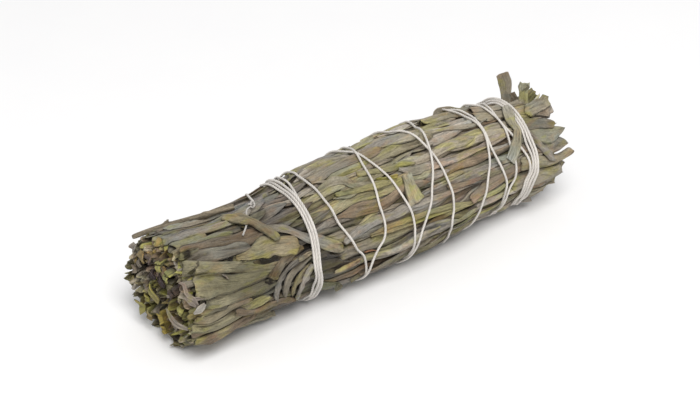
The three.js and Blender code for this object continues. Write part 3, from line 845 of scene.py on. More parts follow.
def make_thread(name, node, points, tone=COTTON, phase=0.0, radius=THREAD_RADIUS):
    """Makes a piece of three-ply thread along a path of evenly spaced points."""
    tangent = unit(np.gradient(points, axis=0))
    up = np.zeros_like(points)
    up[0] = np.cross(tangent[0], [0.3, 0.5, 0.8])
    for i in range(1, len(points)):
        up[i] = up[i - 1] - tangent[i] * (up[i - 1] @ tangent[i])
        up[i] /= np.linalg.norm(up[i])
    up[0] = up[1]
    side = np.cross(tangent, up)
    along = lengths_along(points)[:, None]
    around = circle(10)[None, :]
    plies, ply_pitch = 3, 2.4
    twist = 2 * np.pi * along / ply_pitch + phase
    lobe = np.abs(np.cos(0.5 * plies * (around - twist)))
    r = np.reshape(radius, (-1, 1)) * (0.66 + 0.40 * lobe ** 0.8)
    grain = texture_place(along, 0.25 * (around - twist), phase)
    # Painted shade in the grooves between the plies.
    shade = 0.70 + 0.30 * lobe[..., None]
    piece = Piece(name)
    piece.add(tube(points, up[:, None], side[:, None], r, around), tone * shade, grain, cap="disc")
    piece.build("thread", [node])


def make_winding(skin, x, angle):
    """The wound thread, which looks a little thicker where its turns lie side by side."""
    path = lay_winding(skin, x, angle)
    crowd = Skin(thread_mark(x, angle, 0.6)).sample(x, angle)
    fluff = blur_along(np.clip(crowd - 1.2, 0, 1.2), 6)
    make_thread("wound_thread", "binding_thread", path, radius=THREAD_RADIUS * (1 + 0.16 * fluff))


def make_tail(skin):
    """The thread's loose end, and the small knot that it comes from: a trefoil, flattened on the bundle."""
    radius, tone = THREAD_RADIUS * 0.75, COTTON * 0.7
    (x, angle), (end_x, end_angle) = TAIL_KNOT, TAIL_END
    track = curve_through([(x, angle), (x - 1.8, 6), (end_x + 2.2, 20), (end_x, end_angle)], 60)
    heights = lay_thread(skin, *track.T, bite=0.05)
    path = evenly_spaced(on_bundle(*track.T, heights), THREAD_STEP)
    make_thread("loose_thread_end", "thread_tail", path, tone, 2.0, radius)
    size = 0.75
    outward = np.array([0, -np.sin(np.radians(angle)), np.cos(np.radians(angle))])
    lengthwise = np.array([1.0, 0, 0])
    s = np.linspace(0.12, 2 * np.pi - 0.12, 90)[:, None]
    loop = 0.33 * (np.sin(s) + 2 * np.sin(2 * s)) * lengthwise
    loop = loop + 0.33 * (np.cos(s) - 2 * np.cos(2 * s)) * np.cross(outward, lengthwise)
    loop = loop - 0.42 * np.sin(3 * s) * outward
    centre = on_bundle(np.array([x]), np.array([float(angle)]), heights[:1] + 0.35)[0]
    make_thread("small_knot", "thread_knot", evenly_spaced(centre + size * loop, 0.16), tone, 1.0, radius)


# ---- Leaves and stems inside the bundle ----

STRAND_ACROSS = 11  # points across each face of a curled or a free leaf


def curled_strand(rng, centre, width, curl, lean, thick, taper, slant=0.0):
    """Rings of a leaf curled up across its width, along a path of centres. A slant skews its first end."""
    n, m = len(centre), STRAND_ACROSS
    u = np.linspace(-1, 1, m)
    t = steps(n)
    lean = lean + 0.35 * wander(rng, t, 2)
    bend = curl * (u + 0.25 * np.sin(3 * u + 6 * rng.random()))[None, :]
    heading = lean[:, None] + bend * (1 + 0.2 * wander(rng, t, 2))[:, None]
    step = width / (m - 1) * taper[:, None]
    y = np.cumsum(np.cos(heading) * step, 1)
    z = np.cumsum(np.sin(heading) * step, 1)
    y -= y.mean(1, keepdims=True)
    z -= z.mean(1, keepdims=True)
    skew = slant * (u + wander(rng, u * 0.5 + 0.5, 4))
    x = skew[None, :] * np.exp(-np.abs(centre[:, :1] - centre[:1, :1]) / 1.5)
    half_thick = 0.5 * thick * (1 - 0.4 * u ** 2)[None, :] * np.minimum(1, 0.25 + 12 * t)[:, None]
    offset = np.stack([0 * y, -np.sin(heading) * half_thick, np.cos(heading) * half_thick], -1)
    middle = np.stack([x, y, z], -1)
    return centre[:, None] + closed_strip(middle + offset, middle - offset)


# Rings of packed leaves: each one's share of the bundle's radius, and how many leaves.
INNER_RINGS = [(0.12, 4), (0.30, 8), (0.42, 12), (0.54, 16), (0.66, 20), (0.78, 22)]


def add_sprigs(piece, rng):
    """Crushed leaves packed round the stems for the whole length of the bundle."""
    places = [(share, i * TURN / count, TURN / count) for share, count in INNER_RINGS for i in range(count)]
    for number, (share, place, room) in enumerate(places):
        angle = place + rng.uniform(-0.3, 0.3) * room
        recess = 3.2 * (1 - share) + rng.uniform(-0.6, 2.2)
        x = np.linspace(CUT_END_X + recess, TIP_END_X - 3.0 - rng.uniform(0, 4), 22)
        t = steps(len(x))
        middle = np.sin(np.pi * t)
        swing = angle + (4 + 10 * middle) * wander(rng, t, 3)
        centre = inside(x, swing, share, (0.25 + 0.7 * middle) * wander(rng, t, 3))
        lean = np.radians(angle) + rng.normal(0, 0.7)
        curl = rng.choice([-1, 1]) * rng.uniform(0.9, 2.6)
        width = rng.uniform(2.6, 4.4)
        rings = curled_strand(rng, centre, width, curl, lean, 0.3, 1 - 0.8 * ramp(t, 0.9, 1))
        # Painted light: the tones are brightened, as the cut face gets little light from the lamp.
        tone = 1.5 * pick_tone(rng, CORE_TONES if share < 0.6 else RIM_TONES)
        # Painted shade: deeper in, the leaves turn to a darker brown.
        depth_shade = ramp(x, CUT_END_X + 5, CUT_END_X + 10)[:, None, None]
        piece.add(rings, mix(tone, BROWN * 0.7, depth_shade), strand_place(x, rings, number))


def add_end(piece, rng, rings, tones, depth, number):
    """Adds a leaf end that turns from one tone to another across it, with painted shade that deepens with
    its depth and a little painted light at its very end.
    """
    m = rings.shape[1]
    half = m // 2 + 1
    share = np.clip(0.35 + 0.35 * wander(rng, steps(half), 4), 0, 0.8)
    share = np.concatenate([share, share[-2:0:-1]])[:m, None]
    depth_shade = (0.42 + 0.58 * np.exp(-(depth / 2.2) ** 2) + 0.10 * np.exp(-depth / 0.35))[:, None, None]
    piece.add(rings, mix(*tones, share)[None] * depth_shade, strand_place(depth, rings, number))


CUT_END_COUNT = 130
TIP_END_COUNT = 105
CROSSING_COUNT = 60
BENT_COUNT = 20


def add_cut_ends(piece, rng):
    """Short crumpled leaves that crowd the cut end: yellow-green near the rim, dark towards the middle."""
    t = np.concatenate([[0, 0.02, 0.05], np.linspace(0.1, 1, 10)])
    for number in range(CUT_END_COUNT):
        share = np.sqrt(rng.uniform(0.0, 0.86))
        angle = rng.uniform(0, TURN)
        start = CUT_END_X + 1.2 * (1 - share) + rng.uniform(-0.6, 1.3) - 0.9 * share * rim_reach(angle)
        length = rng.uniform(6, 11)
        flare = rng.normal(0, 0.6) * (1.1 - share)
        swing = angle + (1 - t) ** 2 * rng.normal(0, 8)
        centre = inside(start + length * t, swing, share, flare * (1 - t) ** 3)
        width = rng.uniform(2.6, 5.6) * (1.15 - 0.5 * share)
        curl = rng.choice([-1, 1]) * (rng.uniform(1.5, 3.0) if number % 4 else rng.uniform(0.5, 1.2))
        lean = np.radians(angle) + rng.normal(0, 0.8 - 0.4 * share)
        taper = (0.7 + 0.3 * ramp(t, 0, 0.12)) * (1 - 0.3 * t)
        rings = curled_strand(rng, centre, width, curl, lean, rng.uniform(0.45, 0.85), taper, slant=0.5)
        inner = rng.random() < 1.5 * (0.80 - share)
        # Painted light: the tones are brightened, as the cut face gets little light from the lamp.
        tones = [1.6 * pick_tone(rng, CORE_TONES if inner else RIM_TONES), 1.5 * pick_tone(rng, CORE_TONES)]
        add_end(piece, rng, rings, tones, t * length, 200 + number)


def add_tip_ends(piece, rng):
    """The tips of the inner leaves, which fill the leafy end."""
    t = np.concatenate([[0, 0.03, 0.08], np.linspace(0.16, 1, 9)])
    for number in range(TIP_END_COUNT):
        share = np.sqrt(rng.uniform(0.0, 0.80))
        angle = rng.uniform(0, TURN)
        length = rng.uniform(8, 15)
        end = TIP_END_X - 1.2 - rng.uniform(0, 4.5) - 1.5 * share
        flare = rng.normal(0, 0.5) * (1 - t) ** 2
        centre = inside(end - length * t, angle + (1 - t) ** 2 * rng.normal(0, 7), share, flare)
        curl = rng.choice([-1, 1]) * rng.uniform(0.2, 1.5)
        lean = np.radians(angle) + rng.normal(0, 0.6)
        taper = 0.25 + 0.75 * np.sqrt(np.clip(t / 0.3, 0, 1))
        rings = curled_strand(rng, centre, rng.uniform(2.6, 4.6), curl, lean, 0.35, taper, slant=-0.5)[::-1]
        tones = [pick_tone(rng, GREY_TONES), pick_tone(rng, WARM_TONES)]
        add_end(piece, rng, rings, tones, (t * length)[::-1], 600 + number)


def add_crossing_leaves(piece, rng):
    """Crushed leaves that lie across the middle of the bundle, so that no light passes along it."""
    for number in range(CROSSING_COUNT):
        turn = rng.uniform(0, 2 * np.pi)
        across = np.array([rng.normal(0, 0.25), np.cos(turn), np.sin(turn)])
        aside = np.array([0, -across[2], across[1]])
        centre = np.array([rng.uniform(-16, 20), 0, AXIS_HEIGHT]) + aside * rng.uniform(-7, 7)
        reach = 0.5 * rng.uniform(9, 13)
        bow = np.array([rng.normal(0, 1.2), 0, 0])
        spine = np.array([centre - across * reach, centre + bow, centre + across * reach])
        rings = free_leaf(rng, spine, [1.0, 0, 0], [3, 5, 5, 3], curl=rng.normal(0, 0.3), count=12)
        along = np.linspace(0, 2 * reach, len(rings))
        piece.add(rings, BROWN * 0.8, strand_place(along, rings, 700 + number))


# Bent leaf ends that can be told apart: radius, angle, where it starts along X, the direction it folds to,
# its reach and width, and the two tones it mixes.
BENT_ENDS = [
    (5.8, 250, -50.1, 110, 4.4, 2.6, [GREEN * 1.2, AMBER]),
    (7.8, 296, -50.4, 20, 3.0, 2.2, [AMBER * 1.3, BROWN]),
    (4.8, 300, -49.9, 120, 2.0, 2.4, [MAROON, PURPLE]),
    (6.4, 354, -50.2, 150, 1.8, 2.4, [GREEN * 1.3, GREEN]),
    (6.8, 26, -50.3, 180, 1.8, 2.4, [GREEN * 1.3, OLIVE]),
    (10.4, 296, -50.9, 30, 3.0, 2.0, [GREY, MAUVE]),
    (11.6, 224, -51.3, 60, 3.0, 3.4, [GREEN * 1.2, AMBER]),
    (10.0, 212, -51.1, 90, 2.2, 2.4, [GREEN * 1.2, BROWN]),
    (7.4, 188, -50.5, 60, 1.8, 2.8, [colour(172, 156, 76), AMBER]),
    (9.2, 178, -50.7, 60, 1.6, 2.4, [colour(168, 150, 72), DARK]),
    (3.0, 78, -50.1, 60, 0.7, 0.8, [PALE, MAUVE]),
    (2.6, 330, -49.8, 100, 2.6, 2.8, [PURPLE, MAROON]),
    (4.6, 60, -49.9, 200, 2.0, 2.2, [PURPLE, BROWN * 0.8]),
]


def add_bent_ends(piece, rng):
    """Leaf ends that fold over the cut face, so that a little of their faces shows."""
    for number in range(BENT_COUNT):
        radius = 11.0 * np.sqrt(rng.uniform(0.02, 1.0))
        angle = rng.uniform(0, TURN)
        start = CUT_END_X + (rng.uniform(-0.4, 0.7) - 0.8 * radius / 12 * rim_reach(angle))
        # Painted light: the tones are brightened, as the cut face gets little light from the lamp.
        tones = [1.4 * pick_tone(rng, RIM_TONES), 1.5 * pick_tone(rng, CORE_TONES)]
        towards, reach, width = rng.uniform(0, TURN), rng.uniform(1.0, 2.4), rng.uniform(1.5, 2.6)
        bend_over(piece, rng, 300 + number, radius, angle, start, towards, reach, width, tones)
    for number, listed in enumerate(BENT_ENDS):
        bend_over(piece, rng, 350 + number, *listed)


def bend_over(piece, rng, number, radius, angle, start, towards, reach, width, tones):
    """A leaf end that comes out of the cut face at a radius and angle, and folds over to one side."""
    a, b = np.radians(angle), np.radians(towards)
    place = np.array([start, -np.sin(a) * radius, AXIS_HEIGHT + np.cos(a) * radius])
    aside = np.array([0, -np.sin(b), np.cos(b)])
    bends = [[3.0, 0, 0], [1.0, 0, 0], 0.35 * reach * aside, [0.25, 0, 0] + reach * aside]
    facing = np.array([-0.8, 0, 0]) + 0.6 * aside
    curl = rng.uniform(-0.3, 0.5)
    rings = free_leaf(rng, place + bends, facing, [width, width, width, 0.6 * width], curl, 0.5, count=15)
    t = steps(len(rings))[:, None, None]
    # Painted shade where the leaf comes out of the cut face.
    shade = 0.35 + 0.65 * smoothstep(t / 0.6)
    share = np.clip(0.3 + 0.4 * wander(rng, t, 3), 0, 0.8)
    piece.add(rings, mix(*tones, share) * shade, strand_place(3.0 * t[:, 0, 0], rings, number))


# Rolled leaves whose hollow ends show at the rim: width, tone, and points of (x, angle, height).
ROLLED_LEAVES = [
    (5.4, OLIVE * 0.85, [(-48.7, 38, -0.1), (-45.0, 43, 0.0), (-40.0, 51, -0.3), (-36.0, 56, -0.8)]),
    (4.0, OLIVE, [(-48.0, 12, -0.5), (-45.0, 12, -0.4), (-40.0, 10, -0.8)]),
    (4.4, TAUPE * 0.9, [(-49.2, 52, -1.2), (-46.0, 54, -1.0), (-42.0, 56, -1.4)]),
    (3.6, BROWN, [(-49.4, 112, -0.8), (-46.0, 112, -0.7), (-42.0, 110, -1.0)]),
    (4.2, GREY * 0.9, [(-50.4, 262, -1.0), (-47.0, 262, -0.9), (-42.0, 262, -1.2)]),
]


def add_rolled_leaves(piece, rng):
    """The rolled leaves at the rim, with painted shade inside them and at their open ends."""
    for number, (width, tone, points) in enumerate(ROLLED_LEAVES):
        track = curve_through(points, 20)
        t = steps(len(track))
        taper = (0.85 + 0.15 * ramp(t, 0, 0.1)) * (1 - 0.5 * t)
        lean = np.radians(track[:, 1]) + 0.4
        rings = curled_strand(rng, on_bundle(*track.T), width, -2.5, lean, 0.3, taper, slant=0.3)
        inner_face = np.arange(rings.shape[1]) >= STRAND_ACROSS
        depth = track[:, 0] - track[0, 0]
        # Painted shade inside the roll and at its open end.
        shade = (1 - 0.25 * np.exp(-depth / 0.6))[:, None, None] * np.where(inner_face, 0.35, 1)[:, None]
        piece.add(rings, tone * shade, strand_place(depth, rings, 440 + number))


STEMS = [f"woody_stem_{i}" for i in range(1, 8)]


def add_stem(piece, rng, number):
    """A woody stem where its CAD node lies, with ribbed bark."""
    low, high = [np.array(corner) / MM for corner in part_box(STEMS[number])]
    radius = (high[1] - low[1]) / 2
    x = np.linspace(low[0], high[0], 26)
    t = steps(len(x))
    middle = (low + high) / 2
    centre = np.stack([x, middle[1] + 0.12 * wander(rng, t, 4), middle[2] + 0.12 * wander(rng, t, 4)], -1)
    around = circle(22)
    ribs = 1 + 0.07 * np.cos(5 * around + 6 * rng.random()) + 0.04 * np.cos(11 * around)
    size = radius * (1 - 0.3 * t) * (1 + 0.05 * wander(rng, t, 9))
    rings = tube(centre, np.array([0, 1, 0]), np.array([0, 0, 1]), 0.94 * size[:, None] * ribs, around)
    grain = texture_place((x - x[0])[:, None], radius * around, 3.7 * number)
    piece.add(rings, colour(86, 66, 48) * rng.uniform(0.8, 1.2), grain, cap="disc")


# ---- Loose leaves that stand free, and the twig ----

TOWARDS_FRONT = (-0.5, -0.75, 0.35)


def free_leaf(rng, spine, facing, widths, curl=0.0, thick=0.34, notch=0.0, count=26):
    """Rings of a leaf along free points, its face turned to facing. Its widths run from root to tip."""
    line = evenly_spaced(curve_through(spine, 120), 1e-3 + lengths_along(spine)[-1] / (count - 1))
    line = curve_through(line[np.linspace(0, len(line) - 1, 9).astype(int)], count)
    t = steps(count)
    u = np.linspace(-1, 1, STRAND_ACROSS)
    heading, side, normal = axes_along(line, facing)
    half = 0.5 * np.interp(t, steps(len(widths)), widths) * (1 + 0.05 * wander(rng, t, 6))
    ripple = 0.10 * np.sin(np.pi * 1.6 * u + 2 * wander(rng, t, 3)[:, None])
    rise = curl * half[:, None] * u ** 2 + ripple - 0.12 * np.exp(-(u / 0.18) ** 2)
    tip = notch * (np.abs(u) - 0.5 + 0.3 * wander(rng, 0.5 * u + 0.5, 3)) * ramp(t, 0.6, 1)[:, None]
    middle = line[:, None] + side[:, None] * (half[:, None] * u)[..., None]
    middle = middle + normal[:, None] * rise[..., None] + heading[:, None] * tip[..., None]
    half_thick = 0.5 * thick * (1 - 0.5 * u ** 2) * np.minimum(1, 0.4 + 9 * (1 - t))[:, None]
    offset = normal[:, None] * half_thick[..., None]
    return closed_strip(middle + offset, middle - offset)


def add_free_leaf(piece, seed, number, widths, tone, tip_tone, curl, notch, points):
    """Adds a free leaf that faces the front and whose points are of (x, angle, height)."""
    rng = np.random.default_rng(seed)
    rings = free_leaf(rng, on_bundle(*np.transpose(points)), TOWARDS_FRONT, widths, curl, notch=notch)
    t = steps(len(rings))[:, None, None]
    tint = mix(tone * (1 + 0.08 * wander(rng, t, 4)), tip_tone, ramp(t, 0.8, 1.0) * 0.8)
    piece.add(rings, tint, strand_place(lengths_along(rings[:, 0]), rings, number))


# Free leaves: seed, number, widths, tone, tone of the tip, curl, notch, and points of (x, angle, height).
UPRIGHT = (60, 500, [1.9, 2.2, 2.8, 3.1, 2.8], TAUPE, BROWN * 1.1, 0.25, 0,
           [(39.2, -14.5, -0.8), (39.5, -14, 1.8), (39.6, -14, 4.3), (39.0, -13.5, 6.75)])
FORKED = [
    (61, 501, [2.5, 2.2, 1.9, 2.0, 2.8, 2.2], colour(206, 200, 168), OLIVE * 1.2, -0.2, 0.3,
     [(42.1, -0.5, -0.6), (41.9, 0.2, 1.5), (41.6, 1.3, 3.8), (41.4, 2.7, 5.5)]),
    (62, 502, [0.8, 0.9, 0.6], OLIVE, YELLOW, 0.3, 0,
     [(41.7, 1.2, 3.3), (41.3, -0.4, 4.3), (41.0, -1.8, 4.7)]),
    (64, 503, [0.8, 0.9, 0.6], OLIVE * 1.1, BROWN, 0.3, 0,
     [(41.7, 2.0, 3.6), (41.9, 3.8, 4.3), (42.1, 4.9, 4.8)]),
]
# Scraps of leaf, most of them at the two ends: widths, tone and points.
SCRAPS = [
    ([1.4, 1.5, 1.2], BROWN * 0.8, [(40.6, -9, -0.5), (40.8, -9, 0.8), (40.6, -10, 2.0)]),
    ([1.6, 1.6, 1.2], OLIVE * 0.8, [(39.8, -18, -0.5), (40.4, -16, 0.6), (41.0, -15, 1.4)]),
    ([1.8, 1.8, 1.3], OLIVE * 0.7, [(43.0, 1, -0.4), (43.8, 2, 0.9), (44.6, 3, 1.8)]),
    ([2.0, 1.9, 1.4], YELLOW * 0.8, [(44.0, -6, -0.5), (45.0, -6, 0.6), (46.0, -7, 1.2)]),
    ([0.4, 1.0, 1.1, 0.8], PALE * 0.72,
     [(-50.2, 140, -8.8), (-50.5, 127, -6.6), (-50.5, 117, -4.4), (-50.1, 104, -1.6)]),
    ([0.5, 0.8, 0.8, 0.9, 0.7, 0.4], MAUVE * 1.25,
     [(-50.6, 48, 0.2), (-49.9, 52, 0.5), (-50.0, 60, 0.5), (-49.1, 66, 0.6), (-47.3, 68.5, 0.5),
      (-45.3, 69.5, 0.2)]),
    ([1.6, 1.9, 1.1], MAUVE, [(-49.9, 62, 0.0), (-49.3, 68, 0.3), (-48.6, 74, 0.4)]),
    ([0.4, 1.6, 0.7], PALE, [(-49.6, 80, 0.4), (-48.6, 78, 0.7), (-46.9, 75, 0.5)]),
    ([1.2, 1.4, 0.8], OLIVE * 0.7, [(-14.0, 127, 0.1), (-14.8, 126, 0.6), (-15.8, 127, 0.9)]),
    ([1.2, 2.4, 2.2, 1.4], TAUPE, [(22.6, -34, 0.0), (24.6, -37, 1.0), (26.6, -36, 0.8), (29.6, -33, 0.0)]),
]
scrap_leaves = [(70 + i, 510 + i, widths, tone, tone, 0.25, 0, points)
                for i, (widths, tone, points) in enumerate(SCRAPS)]
FREE_PIECES = [
    ("upright_leaf", "grey_leaf", ["standing_leaf"], [UPRIGHT]),
    ("forked_tip", "olive_leaf", ["forked_leaf"], FORKED),
    ("leaf_scraps", "grey_leaf", [], scrap_leaves),
]


TWIG_POINTS = [(-50.8, -45.5, 0.2), (-45, -40, 0.2), (-40, -32, 0.2), (-36, -21, 0.3), (-31, -11, 0.4)]
TWIG_RADIUS = 0.52


def add_twig(piece, rng):
    """A thin woody twig, with a swollen node and a broken stub on it."""
    t = steps(60)
    line = curve_through(on_bundle(*np.transpose(TWIG_POINTS)), len(t))
    line = line + 0.07 * np.stack([0 * t, wander(rng, t, 9), wander(rng, t, 9)], -1)
    heading, side, up = axes_along(line, [0, 0, 1.0])
    around = circle(16)
    swell = 1 + 0.7 * np.exp(-((t - 0.31) / 0.022) ** 2) + 0.25 * np.exp(-((t - 0.72) / 0.03) ** 2)
    size = TWIG_RADIUS * swell * (1 + 0.08 * wander(rng, t, 9)) * np.minimum(1, 0.75 + 12 * t)
    ribs = 1 + 0.08 * np.cos(4 * around + 5) + 0.05 * np.cos(9 * around)
    grain = texture_place((t * 24)[:, None], TWIG_RADIUS * around, 236.8)
    tint = BARK * (1 + 0.12 * wander(rng, t, 6))[:, None, None]
    piece.add(tube(line, side[:, None], up[:, None], size[:, None] * ribs, around), tint, grain, cap="disc")
    node = 18  # the stub's place along the line, where it swells
    out = steps(8)[:, None]
    stub = line[node] + out * (up[node] * 1.1 - side[node] * 0.2 + heading[node] * 0.5)
    rings = tube(stub, side[node], heading[node], TWIG_RADIUS * 0.75 * (1 - 0.3 * out) * ribs, around)
    piece.add(rings, BARK * 1.1, texture_place(2 * out, TWIG_RADIUS * around, 9), cap="disc")


# ---- Materials ----

class Nodes:
    """Short ways to add nodes to a material and wire them."""

    def __init__(self, name):
        self.material = bpy.data.materials.new(name)
        self.material.use_nodes = True
        self.tree = self.material.node_tree
        self.shader = self.tree.nodes["Principled BSDF"]

    def put(self, kind, values=None, **settings):
        node = self.tree.nodes.new(kind)
        for key, value in settings.items():
            setattr(node, key, value)
        for key, value in (values or {}).items():
            self.wire(value, node.inputs[key])
        return node

    def wire(self, value, socket):
        if isinstance(value, bpy.types.NodeSocket):
            self.tree.links.new(value, socket)
        else:
            socket.default_value = value

    def attributes(self):
        """The tint and the texture place of each point."""
        kind = "ShaderNodeAttribute"
        tint, grain = self.put(kind, attribute_name="tint"), self.put(kind, attribute_name="grain")
        return tint.outputs["Color"], grain.outputs["Vector"]

    def place(self):
        return self.put("ShaderNodeTexCoord").outputs["Object"]

    def vectors(self, operation, a, values):
        return self.put("ShaderNodeVectorMath", {0: a, **values}, operation=operation).outputs[0]

    def noise(self, vector, stretch, scale=1.0, detail=3.0, roughness=0.6):
        stretched = self.vectors("MULTIPLY", vector, {1: stretch})
        values = {"Vector": stretched, "Scale": scale, "Detail": detail, "Roughness": roughness}
        return self.put("ShaderNodeTexNoise", values).outputs["Fac"]

    def ramp(self, value, low, high, out_low, out_high):
        values = {0: value, 1: low, 2: high, 3: out_low, 4: out_high}
        return self.put("ShaderNodeMapRange", values, interpolation_type="SMOOTHSTEP").outputs[0]

    def product(self, a, b):
        return self.put("ShaderNodeMath", {0: a, 1: b}, operation="MULTIPLY").outputs[0]

    def total(self, a, b):
        return self.put("ShaderNodeMath", {0: a, 1: b}, operation="ADD").outputs[0]

    def blend(self, factor, a, b):
        return self.put("ShaderNodeMix", {0: factor, 6: a, 7: b}, data_type="RGBA").outputs[2]

    def finish(self, base, roughness, height=None, depth=0.0, **more):
        """Wires the surface: its base colour, and a bump of a given depth in metres from a height."""
        more.update({"Base Color": base, "Roughness": roughness})
        if height is not None:
            more["Normal"] = self.put("ShaderNodeBump", {"Height": height, "Distance": depth}).outputs[0]
        for key, value in more.items():
            self.wire(value, self.shader.inputs[key.replace("_", " ")])
        return self.material


def leaf_material(name, yellowing, rusting):
    """Dried leaf: veins and wrinkles along it, fine folds drawn as thin dark lines of painted shade, a
    pebbled face, and patches of other hues.

    The patches run on from leaf to leaf. The two shares say how far they turn yellow and rusty.
    """
    n = Nodes(name)
    tint, grain = n.attributes()
    veins = n.noise(grain, (0.35, 3.6, 1.0), detail=4.0)
    wrinkles = n.noise(grain, (1.1, 2.6, 1.0), scale=1.3, detail=5.0, roughness=0.72)
    folds = n.noise(grain, (0.16, 1.5, 1.0), roughness=0.55)
    cells = {"Vector": n.vectors("MULTIPLY", grain, {1: (2.6, 3.6, 1.0)}), "Scale": 1.4}
    pebbles = n.put("ShaderNodeTexVoronoi", cells).outputs["Distance"]
    shade = n.product(n.ramp(veins, 0.28, 0.72, 0.76, 1.20), n.ramp(wrinkles, 0.30, 0.66, 0.76, 1.13))
    # Painted shade: thin dark lines along the folds.
    shade = n.product(shade, n.ramp(folds, 0.60, 0.66, 1.0, 0.62))
    place = n.place()
    yellow = n.ramp(n.noise(place, (130, 330, 330), detail=2.0), 0.50, 0.62, 0.0, yellowing)
    rusty = n.ramp(n.noise(place, (180, 430, 430), detail=2.0), 0.54, 0.66, 0.0, rusting)
    cool = n.ramp(n.noise(place, (120, 270, 270), scale=1.1, detail=2.0), 0.52, 0.64, 0.0, 0.75)
    hue = n.blend(yellow, (0.97, 0.95, 0.95, 1), (0.99, 1.0, 0.60, 1))
    hue = n.blend(cool, hue, (0.83, 0.90, 0.98, 1))
    hue = n.blend(rusty, hue, (1.06, 0.86, 0.74, 1))
    base = n.vectors("MULTIPLY", n.vectors("SCALE", tint, {"Scale": shade}), {1: hue})
    height = n.total(n.product(veins, 0.9), n.product(wrinkles, 0.7))
    height = n.total(height, n.product(pebbles, 0.25))
    return n.finish(base, 0.86, height, 0.0004, Specular_IOR_Level=0.25, Sheen_Weight=0.12)


def bark_material(name):
    """Dry woody stem: fine ribs and cracks along it."""
    n = Nodes(name)
    tint, grain = n.attributes()
    ribs = n.noise(grain, (0.25, 3.5, 1.0), detail=4.0)
    cracks = n.noise(grain, (1.4, 2.4, 1.0))
    shade = n.product(n.ramp(ribs, 0.3, 0.7, 0.55, 1.35), n.ramp(cracks, 0.3, 0.6, 0.8, 1.1))
    height = n.total(ribs, n.product(cracks, 0.5))
    return n.finish(n.vectors("SCALE", tint, {"Scale": shade}), 0.8, height, 0.0004)


def thread_material(name):
    """Undyed cotton: twisted fibres with a soft sheen."""
    n = Nodes(name)
    tint, grain = n.attributes()
    fibres = n.noise(grain, (1.2, 9.0, 1.0))
    slubs = n.noise(grain, (0.25, 0.4, 1.0), detail=2.0)
    shade = n.product(n.ramp(fibres, 0.3, 0.7, 0.86, 1.06), n.ramp(slubs, 0.3, 0.7, 0.88, 1.05))
    return n.finish(n.vectors("SCALE", tint, {"Scale": shade}), 0.75, fibres, 0.00012, Sheen_Weight=0.3)


# ---- Floor, lights and camera, in metres ----

def add_stage():
    """A plain white floor that keeps the bundle's shadow."""
    side = 6.0
    mesh = bpy.data.meshes.new("floor")
    corners = [(-side, -side, 0), (side, -side, 0), (side, side, 0), (-side, side, 0)]
    mesh.from_pydata(corners, [], [(0, 1, 2, 3)])
    n = Nodes("floor_paper")
    tooth = n.noise(n.place(), (1, 1, 1), scale=60.0, detail=2.0)
    white = n.blend(tooth, (0.93, 0.93, 0.94, 1), (0.95, 0.95, 0.955, 1))
    mesh.materials.append(n.finish(white, 0.95, Specular_IOR_Level=0.0))
    floor = bpy.data.objects.new("floor", mesh)
    bpy.context.scene.collection.objects.link(floor)


def add_world():
    """Even white surroundings: plain fill light, and white where the camera sees them."""
    world = bpy.data.worlds.new("surroundings")
    bpy.context.scene.world = world
    world.use_nodes = True
    tree = world.node_tree
    ground = tree.nodes["Background"]
    ground.inputs["Color"].default_value = (1, 1, 1, 1)
    path = tree.nodes.new("ShaderNodeLightPath")
    seen = tree.nodes.new("ShaderNodeMapRange")
    seen.inputs["To Min"].default_value = 0.52
    seen.inputs["To Max"].default_value = 1.0
    tree.links.new(path.outputs["Is Camera Ray"], seen.inputs[0])
    tree.links.new(seen.outputs[0], ground.inputs["Strength"])


def aim(thing, place, towards):
    """Places a lamp or a camera, looking towards a point."""
    thing.location = place
    thing.rotation_euler = (Vector(towards) - Vector(place)).to_track_quat("-Z", "Y").to_euler()
    bpy.context.scene.collection.objects.link(thing)


def add_key_light():
    light = bpy.data.lights.new("key", "AREA")
    light.shape = "DISK"
    light.size = 0.50
    light.energy = 5.5
    light.color = (1.0, 0.99, 0.975)
    aim(bpy.data.objects.new("key", light), (-0.14, -0.38, 0.74), (0, 0, 0.01))


CAMERA_AZIMUTH = np.radians(-35.3)
CAMERA_RISE = np.radians(35.0)
CAMERA_DISTANCE = 0.365
CAMERA_TARGET = (0, 0, 0.0124)


def add_camera():
    """The camera at the photo's angle."""
    level = np.cos(CAMERA_RISE)
    back = Vector((np.sin(CAMERA_AZIMUTH) * level, -np.cos(CAMERA_AZIMUTH) * level, np.sin(CAMERA_RISE)))
    data = bpy.data.cameras.new("camera")
    data.lens = 88.8
    data.sensor_width = 36.0
    data.shift_x = -0.0243
    data.shift_y = -0.0033
    data.clip_start = 0.01
    data.clip_end = 20.0
    camera = bpy.data.objects.new("camera", data)
    aim(camera, Vector(CAMERA_TARGET) + back * CAMERA_DISTANCE, CAMERA_TARGET)
    bpy.context.scene.camera = camera


# ---- The skin's leaves, and those laid as pieces of their own ----

# Quarters of the skin: the numbers of the CAD leaves there, and the finish of the scene's.
FIRST_SECTOR_ANGLE = -33.75
SECTORS = {
    "top": ([15, 16, 1, 2], "grey_leaf"),
    "front": ([3, 4, 5, 6], "olive_leaf"),
    "under": ([7, 8, 9, 10], "olive_leaf"),
    "back": ([11, 12, 13, 14], "grey_leaf"),
}


